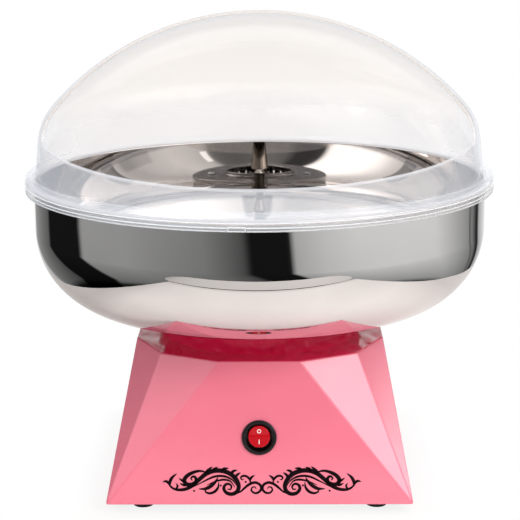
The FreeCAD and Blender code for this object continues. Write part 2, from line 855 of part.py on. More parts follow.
def motor_screw_places():
    """Where the motor is screwed to its mount."""
    return [(x, y) for x, y, _ in spots(dim.motor_screw_circle_radius, dim.motor_screw_count)]


def motor_casing():
    """Motor can with its bearing neck, and the end bell that closes it with two brush rests."""
    can_bottom = motor_bottom + dim.bell_height
    neck_radius = dim.bearing_radius + dim.bearing_wall
    can_inner = dim.motor_radius - dim.motor_wall
    shell = cut(cylinder(dim.motor_radius, can_height, z=can_bottom),
                [cylinder(can_inner, can_height - dim.motor_wall + CUT_MARGIN, z=can_bottom - CUT_MARGIN)])
    upper_level = motor_top - dim.bearing_sink
    neck = cylinder(neck_radius, dim.bearing_length, z=upper_level)
    bore_length = dim.bearing_length + 2 * CUT_MARGIN
    bore = cylinder(dim.bearing_radius, bore_length, z=upper_level - CUT_MARGIN)
    screw_holes = [cylinder(dim.small_screw_radius, 2 * CUT_MARGIN, x, y, motor_top - CUT_MARGIN)
                   for x, y in motor_screw_places()]
    node("motor_can", cut(fuse([shell, neck]), [bore] + screw_holes))
    cup = cut(cylinder(dim.motor_radius, dim.bell_height, z=motor_bottom),
              [cylinder(can_inner, dim.bell_height, z=motor_bottom + dim.bell_floor)])
    lower_level = motor_bottom - bearing_overhang
    boss = cylinder(neck_radius, dim.bearing_length, z=lower_level)
    rest_foot = motor_bottom + dim.bell_floor / 2
    rests = [block(dim.brush_length, dim.brush_width, brush_level() - rest_foot, side * brush_middle(), 0, rest_foot)
             for side in (1, -1)]
    hole = cylinder(dim.bearing_radius, bore_length, z=lower_level - CUT_MARGIN)
    node("motor_end_bell", cut(fuse([cup, boss] + rests), [hole]))
    inner = dim.shaft_radius + dim.bearing_gap
    node("upper_bearing", tube(dim.bearing_radius, inner, dim.bearing_length, z=upper_level))
    node("lower_bearing", tube(dim.bearing_radius, inner, dim.bearing_length, z=lower_level))


def brush_level():
    """Underside of the brushes, at mid height of the commutator."""
    return commutator_level() + (dim.commutator_length - dim.brush_height) / 2


def brush_middle():
    """Distance of each brush's middle from the shaft axis."""
    return dim.commutator_radius + dim.rest_gap + dim.brush_length / 2


def motor_brushes():
    """Carbon brushes on their rests beside the commutator."""
    for name, side in (("brush_right", 1), ("brush_left", -1)):
        brush = block(dim.brush_length, dim.brush_width, dim.brush_height, side * brush_middle(), 0, brush_level())
        node(name, brush)


def motor_magnets():
    """Two arc magnets against the can's wall."""
    outer = dim.motor_radius - dim.motor_wall
    inner = outer - dim.magnet_thickness
    magnet_length = core_length() - dim.magnet_inset
    for name, middle in (("magnet_right", 0), ("magnet_left", FULL_TURN / 2)):
        wall = cylinder(outer, magnet_length, z=core_level())
        bind(wall, Angle=dim.magnet_span)
        place(wall, z=core_level(), turn=middle - dim.magnet_span / 2)
        hole = cylinder(inner, magnet_length + 2 * CUT_MARGIN, z=core_level() - CUT_MARGIN)
        node(name, cut(wall, [hole]))


def commutator_level():
    """Foot of the commutator, just above the lower bearing."""
    return motor_bottom - bearing_overhang + dim.bearing_length + dim.rest_gap


def core_level():
    """Foot of the armature core, above the commutator and the lower winding."""
    return commutator_level() + dim.commutator_length + dim.winding_height


def core_length():
    """Length of the armature core, which leaves room for the upper winding under the bearing."""
    return motor_top - dim.bearing_sink - dim.winding_gap - dim.winding_height - core_level()


def rotor():
    """Shaft with all that is pressed on it inside the motor."""
    shaft = cylinder(dim.shaft_radius, shaft_top - shaft_bottom, z=shaft_bottom)
    pin_hole = place(cylinder(dim.pin_radius, 2 * CUT_MARGIN), -CUT_MARGIN, 0, pin_level(), Y_AXIS, RIGHT_ANGLE)
    node("motor_shaft", cut(shaft, [pin_hole]))
    core_radius = dim.motor_radius - dim.motor_wall - dim.magnet_thickness - dim.air_gap
    core = tube(core_radius, dim.shaft_radius, core_length(), z=core_level())
    slots = [block(2 * dim.core_slot_depth, dim.core_slot_width, core_length() + 2 * CUT_MARGIN,
                   x, y, core_level() - CUT_MARGIN, angle)
             for x, y, angle in spots(core_radius, dim.core_slot_count)]
    node("armature_core", cut(core, slots))
    lower = tube(dim.winding_radius, dim.shaft_radius, dim.winding_height, z=core_level() - dim.winding_height)
    upper = tube(dim.winding_radius, dim.shaft_radius, dim.winding_height, z=core_level() + core_length())
    node("armature_windings", group([lower, upper]))
    node("commutator", tube(dim.commutator_radius, dim.shaft_radius, dim.commutator_length, z=commutator_level()))


def pin_level():
    """Centre of the drive pin, inside the slot at the hub's foot."""
    return hub_bottom + dim.pin_gap + 2 * dim.pin_radius


def drive_pin():
    """Cross pin that turns the head and carries its weight."""
    length = 2 * (dim.hub_radius - dim.pin_inset)
    pin = cylinder(dim.pin_radius, length)
    return node("drive_pin", place(pin, -length / 2, 0, pin_level(), Y_AXIS, RIGHT_ANGLE))


def cooling_fan():
    """Radial fan on the lower end of the shaft, a disc with a hub and upright blades."""
    level = fan_top - dim.fan_height
    blade_root = (dim.fan_hub_radius + dim.shaft_radius) / 2
    blade_tip = dim.fan_radius - dim.fan_blade_inset
    disc = cylinder(dim.fan_radius, dim.fan_disc_thickness, z=fan_top - dim.fan_disc_thickness)
    hub = cylinder(dim.fan_hub_radius, dim.fan_height, z=level)
    blades = [block(blade_tip - blade_root, dim.fan_blade_thickness, dim.fan_height, x, y, level, angle)
              for x, y, angle in spots((blade_root + blade_tip) / 2, dim.fan_blade_count)]
    bore = cylinder(dim.shaft_radius, dim.fan_height + 2 * CUT_MARGIN, z=level - CUT_MARGIN)
    return node("cooling_fan", cut(fuse([disc, hub] + blades), [bore]))


def insulator_places():
    """Where the ceramic pillars stand, as (x, y, angle)."""
    return list(spots(dim.insulator_circle_radius, dim.insulator_count, dim.insulator_angle))


def element_leg_places():
    """Where the two legs of the heating element go down, on its circle."""
    half = dim.element_leg_spacing / 2
    back = root(dim.element_circle_radius * dim.element_circle_radius - half * half)
    return [(half, back), (-half, back)]


def heater_pan():
    """Steel dish under the head that holds the heating element, on three ceramic pillars."""
    low = pan_level - CUT_MARGIN
    depth = dim.pan_wall + 2 * CUT_MARGIN
    dish = cut(cylinder(dim.pan_radius, dim.pan_depth, z=pan_level),
               [cylinder(dim.pan_radius - dim.pan_wall, dim.pan_depth, z=pan_level + dim.pan_wall)])
    holes = [cylinder(dim.pan_hole_radius, depth, z=low)]
    holes += [cylinder(dim.bush_radius, depth, x, y, low) for x, y in element_leg_places()]
    holes += [cylinder(dim.screw_radius, depth, x, y, low) for x, y, _ in insulator_places()]
    node("heater_pan", cut(dish, holes))
    pillars = [tube(dim.insulator_radius, dim.screw_radius, dim.insulator_height, x, y, deck_level)
               for x, y, _ in insulator_places()]
    node("ceramic_pillars", group(pillars))


def heating_element():
    """Sheathed ring with two legs through ceramic bushes, held in three clips."""
    ring = document.addObject("Part::Torus", "ring")
    bind(ring, Radius1=dim.element_circle_radius, Radius2=dim.element_radius)
    place(ring, z=element_level)
    legs = [cylinder(dim.element_radius, dim.element_leg_length, x, y, element_level - dim.element_leg_length)
            for x, y in element_leg_places()]
    node("heating_element", fuse([ring] + legs))
    bush_level = pan_level - dim.bush_length / 2
    bushes = [tube(dim.bush_radius, dim.element_radius + dim.bush_gap, dim.bush_length, x, y, bush_level)
              for x, y in element_leg_places()]
    node("element_bushes", group(bushes))
    floor = pan_level + dim.pan_wall
    clip_height = element_level - dim.element_radius + dim.clip_grip - floor
    clips = [cut(block(dim.clip_depth, dim.clip_width, clip_height, x, y, floor, angle), [ring])
             for x, y, angle in spots(dim.element_circle_radius, dim.clip_count, dim.clip_angle)]
    node("element_clips", group(clips))


def cutout_blade_places():
    """The x of the cut-out's two blades, the left one first."""
    spread = dim.cutout_radius / 2
    return dim.cutout_offset - spread, dim.cutout_offset + spread


def thermal_cutout():
    """Disc thermostat under the heater pan, with two blade terminals."""
    offset = dim.cutout_offset
    level = pan_level - dim.cutout_height
    can = cylinder(dim.cutout_radius, dim.cutout_height, offset, -offset, level)
    blades = [block(dim.blade_thickness, dim.blade_width, dim.blade_length, x, -offset, level - dim.blade_length)
              for x in cutout_blade_places()]
    return node("thermal_cutout", fuse([can] + blades))


def head_post_places():
    """Where the head's cap is screwed down, as (x, y, angle)."""
    return list(spots(dim.head_post_circle_radius, dim.head_post_count, dim.head_post_angle))


def head_body():
    """Floor of the spinning head with its hub, cap posts and the slot for the drive pin."""
    floor = cylinder(dim.head_radius, dim.head_floor, z=head_level)
    hub = cylinder(dim.hub_radius, hub_top - hub_bottom, z=hub_bottom)
    posts = [cylinder(dim.head_post_radius, dim.band_height, x, y, chamber_level) for x, y, _ in head_post_places()]
    bore = cylinder(dim.shaft_radius + dim.head_bore_gap, shaft_top + dim.rest_gap - hub_bottom + CUT_MARGIN,
                    z=hub_bottom - CUT_MARGIN)
    slot_top = pin_level() + dim.pin_radius + dim.pin_gap
    slot_width = 2 * (dim.pin_radius + dim.pin_gap)
    slot = block(2 * (dim.hub_radius + CUT_MARGIN), slot_width, slot_top - hub_bottom + CUT_MARGIN,
                 z=hub_bottom - CUT_MARGIN)
    holes = [cylinder(dim.small_screw_radius, dim.small_screw_bite + CUT_MARGIN, x, y,
                      cap_level + dim.cap_thickness - dim.small_screw_bite) for x, y, _ in head_post_places()]
    return node("head_body", cut(fuse([floor, hub] + posts), [bore, slot] + holes))


def head_band():
    """Slotted band that the molten sugar is thrown through."""
    ring = tube(dim.band_radius, dim.band_radius - dim.band_wall, dim.band_height, z=chamber_level)
    slot_height = dim.band_height - 2 * dim.band_slot_margin
    slots = [block(dim.band_wall + 2 * CUT_MARGIN, dim.band_slot_width, slot_height, x, y,
                   chamber_level + dim.band_slot_margin, angle)
             for x, y, angle in spots(dim.band_radius - dim.band_wall / 2, dim.band_slot_count)]
    return node("head_band", cut(ring, slots))


def head_cap():
    """Lid of the head with the collar of its sugar mouth."""
    lid = cylinder(dim.head_radius, dim.cap_thickness, z=cap_level)
    collar_level = cap_level + dim.cap_thickness
    collar = cylinder(dim.sugar_mouth_radius + dim.sugar_collar_wall, dim.sugar_collar_height, z=collar_level)
    mouth_height = dim.cap_thickness + dim.sugar_collar_height + 2 * CUT_MARGIN
    mouth = cylinder(dim.sugar_mouth_radius, mouth_height, z=cap_level - CUT_MARGIN)
    holes = [cylinder(dim.small_screw_radius, dim.cap_thickness + 2 * CUT_MARGIN, x, y, cap_level - CUT_MARGIN)
             for x, y, _ in head_post_places()]
    return node("head_cap", cut(fuse([lid, collar]), [mouth] + holes))


def head_knob():
    """Turned knob on top of the hub, for lifting the head off."""
    neck_top = dim.knob_neck_level + dim.knob_neck_height
    grip_start = neck_top + dim.knob_grip_radius - dim.knob_neck_radius
    chamfer = dim.knob_grip_chamfer
    return node("head_knob", turned("head_knob", [
        (0, hub_top),
        (dim.knob_foot_radius, hub_top),
        (dim.knob_foot_radius, hub_top + dim.knob_foot_height),
        (dim.knob_shoulder_radius, hub_top + dim.knob_shoulder_level),
        (dim.knob_neck_radius, hub_top + dim.knob_neck_level),
        (dim.knob_neck_radius, hub_top + neck_top),
        (dim.knob_grip_radius, hub_top + grip_start),
        (dim.knob_grip_radius, hub_top + dim.knob_height - chamfer),
        (dim.knob_grip_radius - chamfer, hub_top + dim.knob_height),
        (0, hub_top + dim.knob_height),
    ]))


def switch_body():
    """Round rocker switch body: bezel, barrel, snap clips and the well for the rocker."""
    bezel = cylinder(dim.switch_bezel_radius, dim.switch_bezel_height)
    barrel = cylinder(dim.switch_barrel_radius, dim.switch_barrel_length, z=-dim.switch_barrel_length)
    clip_top = dim.housing_wall + dim.rest_gap
    clip_reach = dim.switch_barrel_radius + dim.switch_clip_reach
    clips = block(2 * clip_reach, dim.switch_clip_width, dim.switch_clip_length,
                  z=-clip_top - dim.switch_clip_length)
    well_height = dim.switch_well_depth + dim.switch_bezel_height + CUT_MARGIN
    well_reach = dim.switch_well_radius + CUT_MARGIN
    well = common(cylinder(dim.switch_well_radius, well_height, z=-dim.switch_well_depth),
                  block(dim.switch_well_width, 2 * well_reach, well_height, z=-dim.switch_well_depth))
    socket_length = dim.switch_well_width + 2 * (dim.trunnion_reach + dim.rest_gap)
    socket = cylinder(dim.trunnion_radius + dim.trunnion_gap, socket_length)
    place(socket, -socket_length / 2, 0, -dim.pivot_depth, Y_AXIS, RIGHT_ANGLE)
    body = cut(fuse([bezel, barrel, clips]), [well, socket])
    return node("switch_body", on_front(body, dim.switch_level))


def switch_terminals():
    """Three blade terminals behind the switch body."""
    blades = [block(dim.blade_thickness, dim.blade_width, dim.blade_length, step * dim.switch_blade_spacing, 0, 0)
              for step in (-1, 0, 1)]
    rear = -dim.switch_barrel_length - dim.blade_length
    return node("switch_terminals", on_front(group(blades), dim.switch_level, rear))


def switch_rocker():
    """Rocker with two faces that meet in a shallow valley, and trunnions it tilts on; it rests switched off."""
    faces = prism("rocker_faces", [
        (-dim.rocker_reach, -dim.rocker_keel),
        (dim.rocker_reach, -dim.rocker_keel),
        (dim.rocker_reach, dim.rocker_crest),
        (0, dim.rocker_valley),
        (-dim.rocker_reach, dim.rocker_crest),
    ], dim.rocker_width)
    outline_reach = dim.rocker_crest + CUT_MARGIN
    outline = cylinder(dim.rocker_round, 2 * outline_reach, z=-outline_reach)
    trunnion_length = dim.switch_well_width + 2 * dim.trunnion_reach
    trunnions = cylinder(dim.trunnion_radius, trunnion_length)
    place(trunnions, -trunnion_length / 2, 0, 0, Y_AXIS, RIGHT_ANGLE)
    rocker = fuse([common(faces, outline), trunnions])
    y, z = front_spot(dim.switch_level, -dim.pivot_depth)
    return node("switch_rocker", place(rocker, 0, y, z, X_AXIS, RIGHT_ANGLE - lean - dim.rocker_throw / 2))


def cord_gland():
    """Gland for the supply cord in the back face, and the nut that holds it."""
    flange = cylinder(dim.gland_flange_radius, dim.gland_flange_height)
    barrel = cylinder(dim.gland_barrel_radius, dim.gland_barrel_length, z=-dim.gland_barrel_length)
    length = dim.gland_barrel_length + dim.gland_flange_height + 2 * CUT_MARGIN
    bore = cylinder(dim.gland_bore_radius, length, z=-dim.gland_barrel_length - CUT_MARGIN)
    node("cord_gland", on_back(cut(fuse([flange, barrel]), [bore]), dim.gland_level))
    hexagon = document.addObject("Part::Prism", "hexagon")
    bind(hexagon, Circumradius=dim.gland_nut_radius, Height=dim.gland_nut_height)
    thread = cylinder(dim.gland_barrel_radius, dim.gland_nut_height + 2 * CUT_MARGIN, z=-CUT_MARGIN)
    nut_place = -dim.housing_wall - dim.gland_nut_height
    node("gland_nut", on_back(cut(hexagon, [thread]), dim.gland_level, nut_place))


def terminal_block():
    """Screw terminal block on the bottom plate, with its clamp screws."""
    body = block(dim.block_length, dim.block_width, dim.block_height, -block_x, dim.block_y, plate_level)
    places = [(step * dim.block_screw_pitch - block_x, dim.block_y) for step in (-1, 0, 1)]
    top = plate_level + dim.block_height
    holes = [cylinder(dim.small_screw_radius, dim.small_screw_bite + CUT_MARGIN, x, y, top - dim.small_screw_bite)
             for x, y in places]
    node("terminal_block", cut(body, holes))
    screws("terminal_screws", places, top, dim.small_screw_bite, small=True)


def lead(points):
    """Insulated lead along straight runs joined by tangent arcs."""
    edges = []
    start = points[0]
    for before, corner, after in zip(points, points[1:], points[2:]):
        back, ahead = before - corner, after - corner
        setback = BEND_SHARE * min(back.Length, ahead.Length)
        half_angle = back.getAngle(ahead) / 2
        back.normalize()
        ahead.normalize()
        first, last = corner + back * setback, corner + ahead * setback
        reach = setback / math.cos(half_angle) - setback * math.tan(half_angle)
        middle = corner + (back + ahead).normalize() * reach
        edges += [Part.LineSegment(start, first).toShape(), Part.Arc(first, middle, last).toShape()]
        start = last
    edges.append(Part.LineSegment(start, points[-1]).toShape())
    ring = Part.Circle(points[0], points[1] - points[0], dim.lead_radius.value).toShape()
    solid = document.addObject("Part::Feature", "lead")
    solid.Shape = Part.Wire(edges).makePipe(Part.Face(Part.Wire([ring])))
    return solid


def path(*places):
    """Points of a lead from places given as (x, y, z) sizes."""
    return [FreeCAD.Vector(*[as_size(size).value for size in place_sizes]) for place_sizes in places]


def leads():
    """Leads from the terminal block to the switch, the motor, the element and the thermal cut-out."""
    entry = plate_level + dim.lead_entry_height
    block_front = dim.block_y - dim.block_width / 2
    block_back = dim.block_y + dim.block_width / 2
    rear = dim.switch_barrel_length + dim.blade_length
    blade_y, blade_z = front_spot(dim.switch_level, -rear)
    stub_y, stub_z = front_spot(dim.switch_level, -rear - dim.lead_stub)
    switch_pair = []
    for side, lane in PAIR_LANES:
        blade_x = side * dim.switch_blade_spacing
        aisle = block_x - dim.lead_aisle_shift + lane * dim.lead_pitch
        switch_pair.append(lead(path(
            (blade_x, blade_y, blade_z),
            (blade_x, stub_y, stub_z),
            (-aisle, stub_y + lane * dim.lead_pitch, stub_z - dim.lead_stub),
            (-aisle, block_front - dim.switch_lead_run_in, entry),
            (-aisle, block_front, entry),
        )))
    node("switch_leads", group(switch_pair))
    bell_level = motor_bottom + dim.bell_height / 2
    gap = 2 * dim.lead_radius
    motor_pair = []
    for side, lane in PAIR_LANES:
        inlet = block_x - dim.block_length / 2 + dim.lead_inset + lane * gap
        motor_pair.append(lead(path(
            (-dim.motor_radius, side * gap, bell_level),
            ((1 - lane) * gap - dim.motor_radius - dim.lead_stub, side * gap, bell_level),
            (-inlet, block_front - dim.motor_lead_run_in, entry),
            (-inlet, block_front, entry),
        )))
    node("motor_leads", group(motor_pair))
    heater_lead_pair(entry, block_back)


def heater_lead_pair(entry, block_back):
    """Leads that rise beside the motor mount, cross under the deck and go up to the heater."""
    leg_x, leg_y = element_leg_places()[0]
    leg_bottom = element_level - dim.element_leg_length
    low_crossing = ceiling_level - 2 * dim.lead_ceiling_gap
    high_crossing = ceiling_level - dim.lead_ceiling_gap
    riser = block_back + dim.lead_riser_gap
    outer_x, inner_x = block_x + dim.lead_pitch, block_x
    low_lane = dim.mount_width / 2 + dim.lead_mount_gap
    to_leg = lead(path(
        (-outer_x, block_back, entry),
        (-outer_x, riser, entry),
        (-outer_x, riser, low_crossing),
        (-outer_x, low_lane, low_crossing),
        (-leg_x, low_lane, low_crossing),
        (-leg_x, leg_y, low_crossing),
        (-leg_x, leg_y, leg_bottom),
    ))
    blade_x, far_blade_x = cutout_blade_places()
    blade_bottom = pan_level - dim.cutout_height - dim.blade_length
    front_lane = -dim.cutout_offset
    to_cutout = lead(path(
        (-inner_x, block_back, entry),
        (-inner_x, riser, entry),
        (-inner_x, riser, high_crossing),
        (-inner_x, front_lane, high_crossing),
        (blade_x, front_lane, high_crossing),
        (blade_x, front_lane, blade_bottom),
    ))
    node("heater_leads", group([to_leg, to_cutout]))
    link_level = blade_bottom - dim.lead_link_drop
    node("cutout_link", lead(path(
        (far_blade_x, front_lane, blade_bottom),
        (far_blade_x, front_lane, link_level),
        (far_blade_x, dim.lead_pitch, link_level),
        (leg_x, leg_y, link_level),
        (leg_x, leg_y, leg_bottom),
    )))


def fasteners():
    """The screws that hold the sub-parts together."""
    screws("plate_screws", plate_screw_places(), dim.foot_height, dim.plate_thickness + dim.screw_bite, hanging=True)
    mount_bite = dim.mount_thickness + dim.grommet_height + dim.screw_bite
    screws("mount_screws", post_places(), motor_top, mount_bite, hanging=True)
    seat_places = [(x, y) for x, y, _ in seat_screw_places()]
    screws("seat_screws", seat_places, ceiling_level, dim.screw_bite, hanging=True)
    screws("motor_screws", motor_screw_places(), motor_top + dim.mount_thickness,
           dim.mount_thickness + dim.motor_wall, small=True)
    pillar_places = [(x, y) for x, y, _ in insulator_places()]
    screws("pillar_screws", pillar_places, pan_level + dim.pan_wall, dim.screw_bite)
    cap_places = [(x, y) for x, y, _ in head_post_places()]
    screws("cap_screws", cap_places, cap_level + dim.cap_thickness, dim.small_screw_bite, small=True)


def check_model():
    """Stop on a failed feature, or on a sub-part without a sound shape."""
    document.recompute()
    for item in document.Objects:
        if "Invalid" in item.State or "Error" in item.State:
            raise RuntimeError(f"{item.Name} ({item.TypeId}) did not compute: {item.State}")
    for item in nodes:
        if item.Shape.isNull() or not item.Shape.isValid():
            raise RuntimeError(f"{item.Label} has no sound shape")


def write_parts():
    """Write each sub-part to its own STEP file."""
    os.makedirs("parts", exist_ok=True)
    for item in nodes:
        item.Shape.exportStep(f"parts/{item.Label}.step")
        print(f"{item.Label}: {len(item.Shape.Solids)} solids, {item.Shape.Volume:.1f} mm3")


def main():
    """Build every sub-part, check the model and write it."""
    housing()
    bottom_plate()
    feet()
    bowl_seat()
    bowl_gasket()
    bowl()
    cover()
    motor_mount()
    motor_casing()
    motor_brushes()
    motor_magnets()
    rotor()
    drive_pin()
    cooling_fan()
    heater_pan()
    heating_element()
    thermal_cutout()
    head_body()
    head_band()
    head_cap()
    head_knob()
    switch_body()
    switch_terminals()
    switch_rocker()
    cord_gland()
    terminal_block()
    leads()
    fasteners()
    check_model()
    write_parts()


main()
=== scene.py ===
"""Table-top cotton candy machine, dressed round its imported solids.

Lengths are in metres and angles in degrees. +Z is up, the front faces -Y, and the origin is on the floor under the
shaft.
"""

from __future__ import annotations

import json
import logging
import math
from collections.abc import Iterable, Sequence
from dataclasses import dataclass
from enum import Enum
from typing import Any

import bmesh
import bpy
from mathutils import Matrix, Vector


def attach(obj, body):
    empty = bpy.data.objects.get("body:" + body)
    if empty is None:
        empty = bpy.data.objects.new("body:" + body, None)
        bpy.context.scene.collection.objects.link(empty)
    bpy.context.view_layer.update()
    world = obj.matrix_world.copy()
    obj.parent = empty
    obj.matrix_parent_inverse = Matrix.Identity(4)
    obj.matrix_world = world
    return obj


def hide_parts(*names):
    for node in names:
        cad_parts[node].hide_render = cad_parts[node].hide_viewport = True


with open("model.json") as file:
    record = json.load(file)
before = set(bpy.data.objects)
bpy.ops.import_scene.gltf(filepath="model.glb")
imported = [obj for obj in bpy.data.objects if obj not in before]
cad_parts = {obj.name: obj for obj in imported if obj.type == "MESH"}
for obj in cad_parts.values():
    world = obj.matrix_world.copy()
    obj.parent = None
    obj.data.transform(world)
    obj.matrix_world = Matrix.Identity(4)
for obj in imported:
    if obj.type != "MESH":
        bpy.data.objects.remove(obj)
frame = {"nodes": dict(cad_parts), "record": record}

LOG = logging.getLogger("machine")
Point = tuple[float, float]
Colour = tuple[int, int, int]

WELD = 1e-6
CUT_MARGIN = 0.005
SMOOTH_ANGLE = 32.0
SMALL_STEPS, MIDDLE_STEPS, LARGE_STEPS = 48, 64, 96
WHITE = (1.0, 1.0, 1.0, 1.0)
SIDE_ON = Matrix(((0, 0, 1, 0), (1, 0, 0, 0), (0, 1, 0, 0), (0, 0, 0, 1)))
SIGNS = ((1, 1), (1, -1), (-1, 1), (-1, -1))


class Body(Enum):
    """The moving bodies that pieces ride on."""

    BASE = "base"
    HEAD = "head"
    BOWL = "bowl"
    COVER = "cover"
    ROCKER = "rocker"


class Relief(Enum):
    """How a surface's fine relief runs."""

    GRAIN = "grain"
    SPUN = "spun"
    DRAWN = "drawn"


def linear(colour: Colour, share: float = 1.0) -> tuple[float, float, float, float]:
    """Linear colour of a display colour.

    Args:
        colour: red, green and blue, 0 to 255.
        share: factor on all three.

    Returns:
        Red, green, blue and a full alpha.
    """
    scaled = (min(part / 255 * share, 1.0) for part in colour)
    red, green, blue = ((part / 12.92 if part <= 0.04045 else ((part + 0.055) / 1.055) ** 2.4) for part in scaled)
    return red, green, blue, 1.0


class Graph:
    """Adds nodes to a node tree and joins them."""

    def __init__(self, tree: bpy.types.NodeTree) -> None:
        """Start on an empty tree."""
        self.tree = tree
        tree.nodes.clear()

    def add(self, kind: str, inputs: dict[Any, Any] | None = None, **settings: Any) -> bpy.types.Node:
        """Add a node.

        Args:
            kind: the node's type.
            inputs: values or sockets by input name or index.
            settings: properties set before the inputs.

        Returns:
            The new node.
        """
        node = self.tree.nodes.new(kind)
        for name, value in settings.items():
            setattr(node, name, value)
        for key, value in (inputs or {}).items():
            if isinstance(value, bpy.types.NodeSocket):
                self.tree.links.new(value, node.inputs[key])
            else:
                node.inputs[key].default_value = value
        return node

    def out(self, kind: str, inputs: dict[Any, Any] | None = None, **settings: Any) -> bpy.types.NodeSocket:
        """First output of a new node."""
        return self.add(kind, inputs, **settings).outputs[0]

    def maths(self, operation: str, *values: Any) -> bpy.types.NodeSocket:
        """Result of one arithmetic node on numbers or sockets."""
        return self.out("ShaderNodeMath", dict(enumerate(values)), operation=operation)

    def plus(self, *values: Any) -> bpy.types.NodeSocket:
        """Sum of two numbers or sockets."""
        return self.maths("ADD", *values)

    def times(self, *values: Any) -> bpy.types.NodeSocket:
        """Product of two numbers or sockets."""
        return self.maths("MULTIPLY", *values)

    def vectors(self, operation: str, *values: Any) -> bpy.types.NodeSocket:
        """Result of one arithmetic node on places: a number for a length or a product, or else a place."""
        made = self.add("ShaderNodeVectorMath", dict(enumerate(values)), operation=operation).outputs
        return made["Value" if operation in ("LENGTH", "DOT_PRODUCT") else "Vector"]

    def parts(self, place: bpy.types.NodeSocket) -> Any:
        """The three parts of a place."""
        return self.add("ShaderNodeSeparateXYZ", {0: place}).outputs

    def length(self, *parts: bpy.types.NodeSocket) -> bpy.types.NodeSocket:
        """Length of two parts at right angles."""
        return self.maths("SQRT", self.plus(*(self.times(part, part) for part in parts)))

    def noise(self, where: bpy.types.NodeSocket, scale: float, detail: float) -> bpy.types.NodeSocket:
        """Soft noise from 0 to 1."""
        return self.out("ShaderNodeTexNoise", {"Vector": where, "Scale": scale, "Detail": detail})

    def stretched(self, where: bpy.types.NodeSocket, scale: Sequence[float]) -> bpy.types.NodeSocket:
        """A place with its three parts scaled."""
        return self.out("ShaderNodeMapping", {"Vector": where, "Scale": scale})

    def bump(self, height: bpy.types.NodeSocket, depth: float, **more: Any) -> bpy.types.NodeSocket:
        """Normal that follows a height, with more inputs of the node by name."""
        return self.out("ShaderNodeBump", {"Strength": 1.0, "Distance": depth, "Height": height, **more})

    def blend(self, share: Any, first: Any, second: Any, mode: str = "MIX") -> bpy.types.NodeSocket:
        """Colour that goes from the first to the second by a share."""
        ends = {0: share, 6: first, 7: second}
        return self.add("ShaderNodeMix", ends, data_type="RGBA", blend_type=mode).outputs[2]

    def layered(self, share: Any, first: Any, second: Any) -> bpy.types.NodeSocket:
        """Shader that goes from the first to the second by a share."""
        return self.out("ShaderNodeMixShader", {0: share, 1: first, 2: second})

    def span(self, value: bpy.types.NodeSocket, source: Sequence[float], target: Sequence[Any],
             smooth: bool = False) -> bpy.types.NodeSocket:
        """Value carried from one span over to another, and held at its ends.

        Args:
            value: the socket that is carried over.
            source: the ends of the span that it is in.
            target: what they become, as numbers or sockets.
            smooth: True to ease in and out.

        Returns:
            The new value.
        """
        return self.out("ShaderNodeMapRange", dict(enumerate((value, *source, *target))),
                        interpolation_type="SMOOTHSTEP" if smooth else "LINEAR")

    def ramp(self, value: bpy.types.NodeSocket, stops: Sequence[tuple[float, float]]) -> bpy.types.NodeSocket:
        """Grey level that follows a value.

        Args:
            value: the socket that is looked up, 0 to 1.
            stops: places and their levels, in rising order.

        Returns:
            The colour socket.
        """
        node = self.add("ShaderNodeValToRGB", {0: value})
        elements = node.color_ramp.elements
        for index, (place, level) in enumerate(stops):
            element = elements[index] if index < 2 else elements.new(place)
            element.position = place
            element.color = (level, level, level, 1.0)
        return node.outputs[0]


